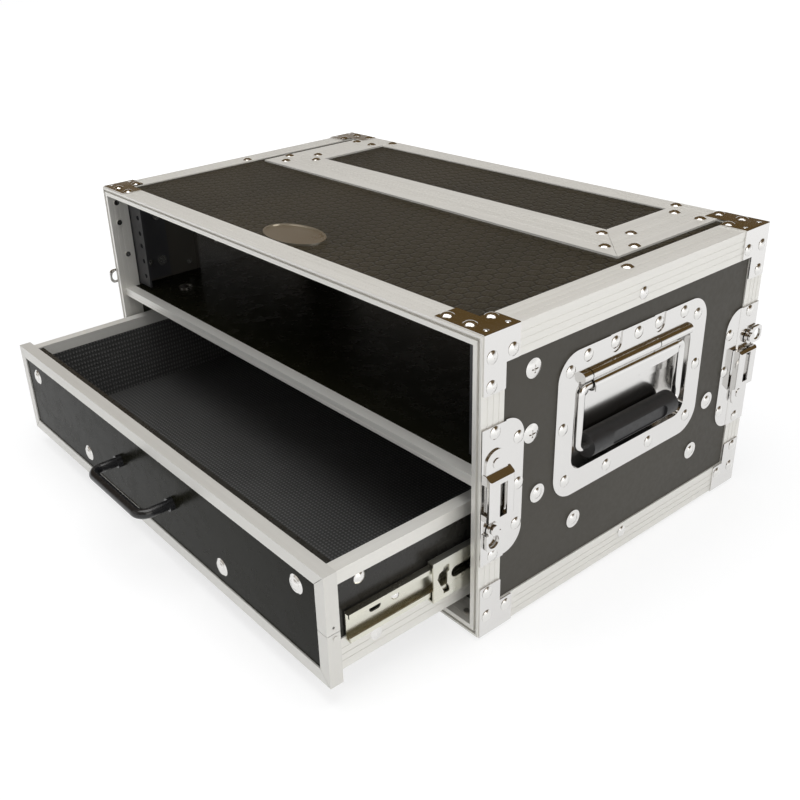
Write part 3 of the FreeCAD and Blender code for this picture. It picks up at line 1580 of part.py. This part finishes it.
# A round-ended slot: its straight part, and the circles of its ends
def slot(start, back, long, high, rise):
    radius = high / 2
    first = start + back + radius
    last = start + back + long - radius
    middle = slideHeight + rise
    straight = rectangle((first, middle - radius), (last, middle + radius))
    return straight, [(first, middle, asSize(radius)), (last, middle, asSize(radius))]


def fixedChannel():
    start = slideStart
    slots = [slot(start, back, 10, 4.5, 0) for back in (16, 90, 150, 228)]
    return slideChannel("slide_fixed", innerSide, innerSide - slideSheet, slideWall + 1, slideOuterHigh,
                        start, slots, [])


# The catch's window in the middle section, back from its front end and up from its middle
catchWindow = ((14.6, 10.4), (9.4, 10.4), (8.9, 7.4), (5.4, 6.2), (3.7, 2), (6.2, -3.6), (9.3, -10.2),
               (9.3, -12.3), (14.6, -12.3), (14.6, -8.9), (12.6, -5), (12.9, 4), (14.6, 4.8))


def middleChannel():
    start = slideStart + slideMidShift - drawerOpen / 2
    webOut = innerSide - slideSheet - slideMidWeb
    slots = [slot(start, back, 32, 8.8, 0.9) for back in (16.5, 96, 175)]
    window = [(start + back, slideHeight + up) for back, up in catchWindow]
    return slideChannel("slide_middle", webOut, webOut - slideSheet, slideWall + slideSheet + 0.8, slideMidHigh,
                        start, slots, [window])


def drawerMember():
    start = slideStart - drawerOpen
    slots = [slot(start, back, 9.6, 5, 2.6) for back in (19.2, 110, 200)]
    return slideChannel("slide_inner", slideWall, slideWall + slideSheet, slideWall + slideInnerReach,
                        slideInnerHigh, start, slots, [])


fixedPart = fixedChannel()
middlePart = middleChannel()
innerPart = drawerMember()
document.recompute()
channelDrills = grouped("channel_drills", [spot.drill(boltDrill) for spot in slideBoltSpots()]
                        + [spot.drill(railRelief) for spot in latchSpots()])
drilled(grouped("slide_fixed_blanks", pairOf(fixedPart)), "slide_channels", channelDrills)
drilled(grouped("slide_inner_blanks", pairOf(innerPart)), "slide_drawer_members", drawerDrills)
middleRight, middleLeft = pairOf(middlePart)
keep(grouped("slide_middle_right", [middleRight]))
keep(grouped("slide_middle_left", [middleLeft]))

# Checks and export
document.recompute()
problems = [thing.Name for thing in document.Objects if "Invalid" in thing.State or "Error" in thing.State]
if problems:
    raise RuntimeError("not recomputed: " + ", ".join(problems))
os.makedirs("parts", exist_ok=True)
for thing in finished:
    shape = thing.Shape
    if shape.isNull() or not shape.isValid() or not shape.Solids:
        raise RuntimeError("no sound solid in " + thing.Label)
    shape.exportStep("parts/%s.step" % thing.Label)
    print(thing.Label, len(shape.Solids), round(shape.Volume))
print(len(finished), "nodes")
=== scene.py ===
import bpy
import math
from mathutils import Matrix, Vector


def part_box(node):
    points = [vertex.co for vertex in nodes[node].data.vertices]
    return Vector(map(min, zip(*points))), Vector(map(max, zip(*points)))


# Looks of the road case. Metres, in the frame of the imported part: X to the right, Y to the back, Z up.
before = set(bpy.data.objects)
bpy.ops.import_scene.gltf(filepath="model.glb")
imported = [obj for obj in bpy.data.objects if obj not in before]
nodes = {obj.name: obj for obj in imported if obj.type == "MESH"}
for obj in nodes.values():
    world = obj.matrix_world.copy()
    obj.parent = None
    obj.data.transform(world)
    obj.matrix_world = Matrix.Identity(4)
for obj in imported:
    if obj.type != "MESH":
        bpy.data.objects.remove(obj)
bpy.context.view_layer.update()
print("frame loaded")

rimLow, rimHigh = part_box("front_rim_top")
halfWidth = rimHigh.x
halfDepth = -rimLow.y
caseTop = rimHigh.z
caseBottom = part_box("front_rim_bottom")[0].z


# Shader maths. A value wraps one output socket, so that sums of sockets read as sums.
class Value:
    def __init__(self, tree, socket):
        self.tree = tree
        self.socket = socket

    def maths(self, operation, *others):
        return self.tree.add("ShaderNodeMath", [self, *others], operation=operation)

    def __add__(self, other):
        return self.maths("ADD", other)

    def __sub__(self, other):
        return self.maths("SUBTRACT", other)

    def __rsub__(self, other):
        return self.tree.add("ShaderNodeMath", [other, self], operation="SUBTRACT")

    def __mul__(self, other):
        return self.maths("MULTIPLY", other)

    def __truediv__(self, other):
        return self.maths("DIVIDE", other)

    __radd__ = __add__
    __rmul__ = __mul__

    def absolute(self):
        return self.maths("ABSOLUTE")

    def sine(self):
        return self.maths("SINE")

    def fraction(self):
        return self.maths("FRACT")

    def root(self):
        return self.maths("SQRT")

    def least(self, other):
        return self.maths("MINIMUM", other)

    def most(self, other):
        return self.maths("MAXIMUM", other)

    def below(self, other):
        return self.maths("LESS_THAN", other)

    # 0 under low and 1 over high, with a smooth step between them
    def step(self, low, high):
        return self.tree.add("ShaderNodeMapRange", [self, low, high, 0.0, 1.0],
                             interpolation_type="SMOOTHSTEP")


# The nodes of one material or of the world. A node's settings are set before its sockets.
class Tree:
    def __init__(self, owner):
        owner.use_nodes = True
        self.nodeTree = owner.node_tree

    def add(self, kind, inputs=(), output=0, named=None, **settings):
        node = self.nodeTree.nodes.new(kind)
        for key, value in settings.items():
            setattr(node, key, value)
        for index, value in enumerate(inputs):
            self.feed(node.inputs[index], value)
        for key, value in (named or {}).items():
            self.feed(node.inputs[key], value)
        return Value(self, node.outputs[output]) if node.outputs else None

    def feed(self, socket, value):
        if isinstance(value, Value):
            self.nodeTree.links.new(value.socket, socket)
        else:
            socket.default_value = value


# A plain colour with its alpha, or a socket as it is
def opaque(colour):
    return (*colour, 1) if isinstance(colour, tuple) else colour


# A material with one shader, and patterns on object coordinates
class Finish(Tree):
    def __init__(self, name):
        self.material = bpy.data.materials.new(name)
        super().__init__(self.material)
        self.shader = self.nodeTree.nodes["Principled BSDF"]
        self.place = self.add("ShaderNodeTexCoord", output="Object")
        self.x = self.along("X")
        self.y = self.along("Y")
        self.z = self.along("Z")

    def along(self, axis):
        return self.add("ShaderNodeSeparateXYZ", [self.place], output=axis)

    def set(self, **sockets):
        for key, value in sockets.items():
            self.feed(self.shader.inputs[key.replace("_", " ")], value)

    # Noise with its grains stretched along an axis
    def noise(self, scale, stretch=(1, 1, 1), detail=3.0):
        placed = self.add("ShaderNodeMapping", named={"Vector": self.place, "Scale": stretch})
        return self.add("ShaderNodeTexNoise", named={"Vector": placed, "Scale": scale, "Detail": detail})

    # A colour between two, each a plain colour or a socket
    def blend(self, factor, first, second):
        colours = {0: factor, 6: opaque(first), 7: opaque(second)}
        return self.add("ShaderNodeMix", output=2, named=colours, data_type="RGBA")

    def bump(self, height, distance, strength):
        sockets = {"Height": height, "Distance": distance, "Strength": strength}
        return self.add("ShaderNodeBump", named=sockets)


# A noise's dark and light ends, where it reaches low and high
noiseEnds = (0.3, 0.7)


def level(value, low=0, high=1):
    return value.step(*noiseEnds) * (high - low) + low


def shaded(colour, share):
    return tuple(channel * share for channel in colour)


def dress(finish, *names):
    for name in names:
        mesh = nodes[name].data
        mesh.materials.clear()
        mesh.materials.append(finish.material)


# Extruded aluminium, satin, with fine drawing lines along one axis. Each rough is a range from low to
# high, and each relief the height of the bumps in metres with their strength.
# The trim's share darkens the drawer's front trim all over, as painted shade.
aluminium = {"colour": (0.80, 0.785, 0.74), "shade": 0.88, "rough": (0.31, 0.43), "metal": 0.35,
             "lines": 9, "finest": 60, "longest": 0.6, "cloud": 14, "lineShare": 0.6,
             "relief": (0.00012, 0.35), "trimPaintedShade": 0.9, "frameBar": 0.045}


def drawnLines(finish, along):
    stretch = [aluminium["finest"]] * 3
    stretch[along] = aluminium["longest"]
    return finish.noise(aluminium["lines"], tuple(stretch), detail=4)


# Where a turn is given, the lines run along the second axis there. A share under 1 darkens the colour all
# over, as painted shade.
def aluminiumFinish(name, along, second=None, turn=None, paintedShade=1.0):
    finish = Finish(name)
    lines = drawnLines(finish, along)
    if turn is not None:
        share = turn(finish)
        lines = lines + (drawnLines(finish, second) - lines) * share
    cloud = finish.noise(aluminium["cloud"])
    marks = lines * aluminium["lineShare"] + cloud * (1 - aluminium["lineShare"])
    colour = shaded(aluminium["colour"], paintedShade)
    finish.set(
        Base_Color=finish.blend(marks, shaded(colour, aluminium["shade"]), colour),
        Metallic=aluminium["metal"],
        Roughness=level(lines, *aluminium["rough"]),
        Normal=finish.bump(lines, *aluminium["relief"]))
    return finish


# 1 on the frame's two side bars, which meet the front bar at a mitre
def onSideBars(finish):
    low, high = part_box("top_frame")
    bar = aluminium["frameBar"]
    fromInner = finish.x.absolute() - (high.x - bar)
    fromBar = (low.y + bar) - finish.y
    return fromBar.below(fromInner)


# 1 on the upright ends of the drawer's trim
def onUprights(finish):
    low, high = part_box("drawer_front_trim")
    middle = (low.z + high.z) / 2
    fromEnd = high.x - finish.x.absolute()
    fromEdge = (high.z - low.z) / 2 - (finish.z - middle).absolute()
    return fromEnd.below(fromEdge)


def dressAluminium():
    dress(aluminiumFinish("aluminium_along_width", 0), "front_rim_top", "front_rim_bottom", "rear_rim_top",
          "rear_rim_bottom", "shelf_trims")
    dress(aluminiumFinish("aluminium_frame", 0, 1, onSideBars), "top_frame")
    # The drawer's front trim gets a darker copy of the aluminium, as painted shade.
    dress(aluminiumFinish("aluminium_trim_painted_shade", 0, 2, onUprights, aluminium["trimPaintedShade"]), "drawer_front_trim")
    dress(aluminiumFinish("aluminium_along_height", 2), "front_rim_left", "front_rim_right", "rear_rim_left",
          "rear_rim_right")
    dress(aluminiumFinish("aluminium_along_depth", 1), "edge_extrusions", "drawer_top_trims",
          "drawer_base_trims")
    print("aluminium set")


dressAluminium()

# Bright plated sheet, with faint cloudy marks
plate = {"shade": 0.93, "cloud": 18, "smear": 5, "relief": (0.0006, 0.18)}
chrome = {"colour": (0.74, 0.73, 0.715), "rough": (0.1, 0.18)}
rivetMetal = {"colour": (0.76, 0.75, 0.73), "rough": (0.14, 0.22)}
badgeMetal = {"colour": (0.62, 0.59, 0.52), "rough": (0.24, 0.32)}


def plateFinish(name, look):
    finish = Finish(name)
    cloud = finish.noise(plate["cloud"], detail=5)
    smear = finish.noise(plate["smear"], detail=2)
    finish.set(
        Base_Color=finish.blend(smear, shaded(look["colour"], plate["shade"]), look["colour"]),
        Metallic=1.0,
        Roughness=level(cloud, *look["rough"]),
        Normal=finish.bump(smear, *plate["relief"]))
    return finish


# Two pressed dots in each level leg of the corner braces, beside the fold
braceDots = {"fromSide": 0.0042, "fromEnd": (0.008, 0.027), "flat": 0.0002, "radius": 0.0021,
             "legThick": 0.0022, "relief": (0.0011, 1.0)}


def braceFinish():
    finish = plateFinish("brace_chrome", chrome)
    fromSide = (finish.x.absolute() - halfWidth).absolute()
    fromEnd = (finish.y.absolute() - halfDepth).absolute()
    fromLevel = (finish.z - caseTop).absolute().least((finish.z - caseBottom).absolute())
    across = fromSide - braceDots["fromSide"]
    dots = []
    for place in braceDots["fromEnd"]:
        along = fromEnd - place
        reach = (across * across + along * along).root()
        dots.append(1 - reach.step(braceDots["flat"], braceDots["radius"]))
    onLevelLeg = fromLevel.below(braceDots["legThick"])
    height = dots[0].most(dots[1]) * onLevelLeg
    finish.set(Normal=finish.bump(height, *braceDots["relief"]))
    return finish


def dressPlated():
    chromeSheet = plateFinish("chrome", chrome)
    dress(braceFinish(), "corner_braces")
    dress(plateFinish("rivet_metal", rivetMetal), "case_rivets", "base_rivets", "side_bolts",
          "drawer_fasteners")
    dress(plateFinish("badge_metal", badgeMetal), "badge_plate")
    for side in ("left", "right"):
        dress(chromeSheet, "handle_dish_" + side, "handle_bracket_" + side, "handle_bail_" + side)
        for end in ("front", "rear"):
            corner = end + "_" + side
            dress(chromeSheet, "latch_body_" + corner, "latch_key_" + corner, "latch_hook_" + corner)
    print("plated pieces set")


dressPlated()

# Plastic laminate with a faint leather-like grain
laminate = {"cloud": 7, "cloudShare": 0.5, "strength": 0.5}
sideLaminate = {"colour": (0.046, 0.042, 0.034), "light": (0.062, 0.057, 0.047), "rough": (0.46, 0.56),
                "grain": 260, "relief": 0.0002, "gloss": 0.25}
frontLaminate = {"colour": (0.005, 0.005, 0.0025), "light": (0.009, 0.0085, 0.004), "rough": (0.20, 0.30),
                 "grain": 90, "relief": 0.0001, "gloss": 0.05}
drawerLaminate = {"colour": (0.016, 0.015, 0.013), "light": (0.024, 0.023, 0.020), "rough": (0.24, 0.34),
                  "grain": 140, "relief": 0.0002, "gloss": 0.3}


def laminateFinish(name, look):
    finish = Finish(name)
    fine = finish.noise(look["grain"], detail=6)
    cloud = finish.noise(laminate["cloud"])
    marks = level(cloud) * laminate["cloudShare"] + fine * (1 - laminate["cloudShare"])
    finish.set(
        Base_Color=finish.blend(marks, look["colour"], look["light"]),
        Roughness=level(fine, *look["rough"]),
        Normal=finish.bump(fine, look["relief"], laminate["strength"]),
        Specular_IOR_Level=look["gloss"])
    return finish


# The top's laminate has a fine six-sided net inside a larger one. Wall and slope say where, from the middle
# of a cell at 0 to its edge at 1, the net's dark line and its sloping side start and end. The dark lines of
# both nets lie in the grooves and are painted shade.
topLaminate = {"cell": 0.0115, "fineCell": 0.0023, "wall": (0.86, 0.98), "slope": (0.75, 1.0),
               "fineWall": (0.6, 1.0), "fineSlope": (0.5, 1.0), "grain": 420, "cloud": 9,
               "base": (0.026, 0.0215, 0.0125), "light": (0.036, 0.029, 0.017),
               "fineNetPaintedShade": (0.012, 0.010, 0.006), "fineNetPaintedShadeShare": 0.45,
               "wallPaintedShade": (0.005, 0.004, 0.003), "wallPaintedShadeShare": 0.75,
               "fineDepth": 0.3, "grainHeight": 0.2, "rough": (0.38, 0.5), "gloss": 0.14,
               "relief": (0.0006, 0.6)}


# Distance from the middle of the nearest cell of a six-sided net, 0 at the middle and 1 at the walls
def sixSided(finish, size):
    ratio = math.sqrt(3)
    rows = []
    for shift in (0.0, 0.5):
        across = ((finish.x / size + shift).fraction() - 0.5).absolute()
        along = (((finish.y / (size * ratio) + shift).fraction() - 0.5) * ratio).absolute()
        slant = across * 0.5 + along * (ratio / 2)
        rows.append(across.most(slant) * 2)
    return rows[0].least(rows[1])


def topFinish():
    look = topLaminate
    finish = Finish("top_laminate")
    cell = sixSided(finish, look["cell"])
    fine = sixSided(finish, look["fineCell"])
    grain = finish.noise(look["grain"], detail=2)
    cloud = finish.noise(look["cloud"])
    base = finish.blend(level(cloud), look["base"], look["light"])
    # painted shade darkens the fine net's grooves
    netted = finish.blend(fine.step(*look["fineWall"]) * look["fineNetPaintedShadeShare"], base, look["fineNetPaintedShade"])
    # painted shade darkens the large net's grooves
    wall = cell.step(*look["wall"]) * look["wallPaintedShadeShare"]
    depth = cell.step(*look["slope"]) + fine.step(*look["fineSlope"]) * look["fineDepth"]
    finish.set(
        Base_Color=finish.blend(wall, netted, look["wallPaintedShade"]),
        Roughness=level(grain, *look["rough"]),
        Normal=finish.bump(grain * look["grainHeight"] - depth, *look["relief"]),
        Specular_IOR_Level=look["gloss"])
    return finish


def dressLaminate():
    dress(topFinish(), "top_panel")
    dress(laminateFinish("side_laminate", sideLaminate), "bottom_panel", "left_side_panel",
          "right_side_panel")
    dress(laminateFinish("front_laminate", frontLaminate), "shelf_panel", "drawer_front_panel")
    dress(laminateFinish("drawer_laminate", drawerLaminate), "drawer_side_left", "drawer_side_right",
          "drawer_floor", "drawer_end_walls")
    print("laminate set")


dressLaminate()

# Rubber mat with small raised dots in a slanting grid, which goes on up the walls. The dots carry a painted
# highlight, lighter than the mat.
mat = {"pitch": 0.0032, "rise": 0.7, "dotEdge": (0.05, 0.75), "cloud": 30, "base": (0.028, 0.028, 0.028),
       "light": (0.046, 0.046, 0.045), "dotPaintedHighlight": (0.105, 0.105, 0.102), "rough": (0.5, 0.62),
       "relief": (0.0007, 0.7)}


def matFinish():
    finish = Finish("drawer_mat")
    rise = finish.z * mat["rise"]
    first = ((finish.x + finish.y + rise) / mat["pitch"] * math.pi).sine()
    second = ((finish.x - finish.y + rise) / mat["pitch"] * math.pi).sine()
    dots = (first * second).step(*mat["dotEdge"])
    cloud = finish.noise(mat["cloud"], detail=4)
    base = finish.blend(cloud, mat["base"], mat["light"])
    finish.set(
        # the raised dots are lightened with a painted highlight
        Base_Color=finish.blend(dots, base, mat["dotPaintedHighlight"]),
        Roughness=level(cloud, *mat["rough"]),
        Normal=finish.bump(dots, *mat["relief"]))
    return finish


# Zinc plate with a greenish tint in patches
zinc = {"cool": (0.62, 0.64, 0.62), "warm": (0.72, 0.70, 0.58), "blue": (0.52, 0.54, 0.58),
        "blueShare": 0.4, "cloud": 45, "cloudStretch": (1, 0.3, 1), "patches": 12,
        "patchStretch": (1, 0.5, 1), "rough": (0.22, 0.36), "relief": (0.0002, 0.25)}


def zincFinish():
    finish = Finish("slide_zinc")
    cloud = finish.noise(zinc["cloud"], zinc["cloudStretch"], detail=4)
    patches = finish.noise(zinc["patches"], zinc["patchStretch"], detail=2)
    tint = finish.blend(level(patches), zinc["cool"], zinc["warm"])
    finish.set(
        Base_Color=finish.blend(cloud * zinc["blueShare"], tint, zinc["blue"]),
        Metallic=1.0,
        Roughness=level(cloud, *zinc["rough"]),
        Normal=finish.bump(cloud, *zinc["relief"]))
    return finish


# Black powder paint of the rack rails, and the glossier one of the pull
paint = {"peel": 160, "cloud": 10, "cloudShare": 0.7, "relief": (0.00015, 0.4)}
railPaint = {"colour": (0.022, 0.022, 0.024), "light": (0.0414, 0.0414, 0.0448), "rough": (0.32, 0.42)}
pullPaint = {"colour": (0.008, 0.008, 0.009), "light": (0.0176, 0.0176, 0.0193), "rough": (0.20, 0.30)}


def paintFinish(name, look):
    finish = Finish(name)
    peel = finish.noise(paint["peel"])
    cloud = finish.noise(paint["cloud"])
    finish.set(
        Base_Color=finish.blend(cloud * paint["cloudShare"], look["colour"], look["light"]),
        Roughness=level(peel, *look["rough"]),
        Normal=finish.bump(peel, *paint["relief"]))
    return finish


grip = {"colour": (0.010, 0.010, 0.011), "light": (0.024, 0.024, 0.025), "grain": 300,
        "rough": (0.42, 0.55), "relief": (0.0002, 0.4)}


def rubberFinish():
    finish = Finish("grip_rubber")
    fine = finish.noise(grip["grain"])
    finish.set(
        Base_Color=finish.blend(fine, grip["colour"], grip["light"]),
        Roughness=level(fine, *grip["rough"]),
        Normal=finish.bump(fine, *grip["relief"]))
    return finish


def dressSmallPieces():
    dress(matFinish(), "drawer_lining")
    dress(zincFinish(), "slide_channels", "slide_drawer_members", "slide_middle_left", "slide_middle_right",
          "shelf_brackets", "handle_springs")
    dress(paintFinish("rail_paint", railPaint), "rack_rail_left", "rack_rail_right")
    dress(paintFinish("pull_paint", pullPaint), "drawer_pull")
    dress(rubberFinish(), "handle_grip_left", "handle_grip_right")
    print("mat, slides, paint and rubber set")


dressSmallPieces()

# A fold over this angle, in degrees, stays sharp
smoothing = {"sharpAngle": 28}


def smoothNodes():
    for item in nodes.values():
        mesh = item.data
        mesh.set_sharp_from_angle(angle=math.radians(smoothing["sharpAngle"]))
        mesh.polygons.foreach_set("use_smooth", [True] * len(mesh.polygons))
    print("shading smoothed")


smoothNodes()


# 1 for the rays of one kind
def rays(tree, kind):
    return tree.add("ShaderNodeLightPath", output=kind)


# Plain white floor. The camera, metal and glass see its shadow near the object, fading to plain white.
floorLook = {"size": 6.0, "colour": (0.95, 0.95, 0.95), "share": 0.35, "glow": (0.7, 1.0),
             "glowReach": (0.45, 1.3)}


def whiteFloor():
    size = floorLook["size"]
    mesh = bpy.data.meshes.new("floor")
    mesh.from_pydata([(-size, -size, 0), (size, -size, 0), (size, size, 0), (-size, size, 0)], [],
                     [(0, 1, 2, 3)])
    floor = bpy.data.objects.new("floor", mesh)
    bpy.context.scene.collection.objects.link(floor)
    material = bpy.data.materials.new("floor_white")
    tree = Tree(material)
    tree.nodeTree.nodes.clear()
    place = tree.add("ShaderNodeTexCoord", output="Object")
    reach = tree.add("ShaderNodeVectorMath", [place], output="Value", operation="LENGTH")
    glow = tree.add("ShaderNodeMapRange", [reach, *floorLook["glowReach"], *floorLook["glow"]])
    plain = tree.add("ShaderNodeBsdfDiffuse", [opaque(floorLook["colour"])])
    dimColour = shaded(floorLook["colour"], floorLook["share"])
    dimmed = tree.add("ShaderNodeBsdfDiffuse", [opaque(dimColour)])
    white = tree.add("ShaderNodeEmission", [(1, 1, 1, 1), glow])
    lit = tree.add("ShaderNodeAddShader", [dimmed, white])
    mirrored = rays(tree, "Is Glossy Ray").most(rays(tree, "Is Transmission Ray"))
    seen = rays(tree, "Is Camera Ray").most(mirrored)
    tree.add("ShaderNodeOutputMaterial", [tree.add("ShaderNodeMixShader", [seen, plain, lit])])
    mesh.materials.append(material)


# White to the camera. Metal sees the white backdrop up to a low height and a dark ceiling over it.
worldLook = {"studio": (0.95, 0.97, 1.0), "studioStrength": 0.4, "ceiling": (0.113, 0.069, 0.023),
             "ceilingStart": (0.1, 0.24)}


def whiteWorld():
    world = bpy.data.worlds.new("studio")
    bpy.context.scene.world = world
    tree = Tree(world)
    tree.nodeTree.nodes.clear()
    way = tree.add("ShaderNodeTexCoord", output="Generated")
    height = tree.add("ShaderNodeSeparateXYZ", [way], output="Z")
    ceiling = tree.add("ShaderNodeBackground", [opaque(worldLook["ceiling"]), 1.0])
    white = tree.add("ShaderNodeBackground", [(1, 1, 1, 1), 1.0])
    studio = tree.add("ShaderNodeBackground", [opaque(worldLook["studio"]), worldLook["studioStrength"]])
    mirrored = tree.add("ShaderNodeMixShader", [height.step(*worldLook["ceilingStart"]), white, ceiling])
    inMetal = tree.add("ShaderNodeMixShader", [rays(tree, "Is Glossy Ray"), studio, mirrored])
    both = tree.add("ShaderNodeMixShader", [rays(tree, "Is Camera Ray"), inMetal, white])
    tree.add("ShaderNodeOutputWorld", [both])


# Each lamp's place and aim in metres, its width and height, and its power in watts
lamps = {
    "over_lamp": {"place": (0.1, -0.2, 1.7), "aim": (0, 0, 0.1), "size": (1.6, 1.2), "power": 20,
                  "colour": (1, 1, 1)},
    "right_lamp": {"place": (1.8, -0.3, 0.8), "aim": (0.2, 0, 0.1), "size": (1.4, 1.2), "power": 9,
                   "colour": (1, 0.98, 0.95)},
    "front_lamp": {"place": (-0.5, -1.9, 1.0), "aim": (0, -0.1, 0.1), "size": (1.4, 1.0), "power": 3,
                   "colour": (1, 1, 1)},
}


def softBox(name, look):
    lamp = bpy.data.lights.new(name, "AREA")
    lamp.shape = "RECTANGLE"
    lamp.size, lamp.size_y = look["size"]
    lamp.energy = look["power"]
    lamp.color = look["colour"]
    item = bpy.data.objects.new(name, lamp)
    item.location = look["place"]
    ray = Vector(look["aim"]) - Vector(look["place"])
    item.rotation_euler = ray.to_track_quat("-Z", "Y").to_euler()
    bpy.context.scene.collection.objects.link(item)


whiteFloor()
whiteWorld()
for lampName, lampLook in lamps.items():
    softBox(lampName, lampLook)

# Camera found from the case's corners in the photograph. Its place is over the underside of the case,
# in metres, its angles are in degrees, and its focal length and centre in the photograph's pixels.
cameraLook = {"place": (0.6239, -0.5371, 0.4610), "yaw": 53.01, "pitch": 26.46, "roll": -3.1,
              "focal": 963.06, "centre": (345.18, 387.5), "picture": 800, "sensor": 36}


def photoCamera():
    look = cameraLook
    camera = bpy.data.cameras.new("photo_camera")
    picture = look["picture"]
    centreX, centreY = look["centre"]
    camera.sensor_width = look["sensor"]
    camera.lens = look["focal"] / picture * look["sensor"]
    camera.shift_x = (picture / 2 - centreX) / picture
    camera.shift_y = (centreY - picture / 2) / picture
    yaw, pitch, roll = [math.radians(look[angle]) for angle in ("yaw", "pitch", "roll")]
    forward = Vector((-math.cos(pitch) * math.sin(yaw), math.cos(pitch) * math.cos(yaw), -math.sin(pitch)))
    right = forward.cross(Vector((0, 0, 1))).normalized()
    up = right.cross(forward)
    rolledRight = right * math.cos(roll) + up * math.sin(roll)
    rolledUp = up * math.cos(roll) - right * math.sin(roll)
    turn = Matrix((rolledRight, rolledUp, -forward)).transposed()
    item = bpy.data.objects.new("photo_camera", camera)
    item.location = Vector(look["place"]) + Vector((0, 0, caseBottom))
    item.rotation_euler = turn.to_euler()
    bpy.context.scene.collection.objects.link(item)
    bpy.context.scene.camera = item


photoCamera()
bpy.context.scene.view_settings.view_transform = "Standard"
print("stage set")
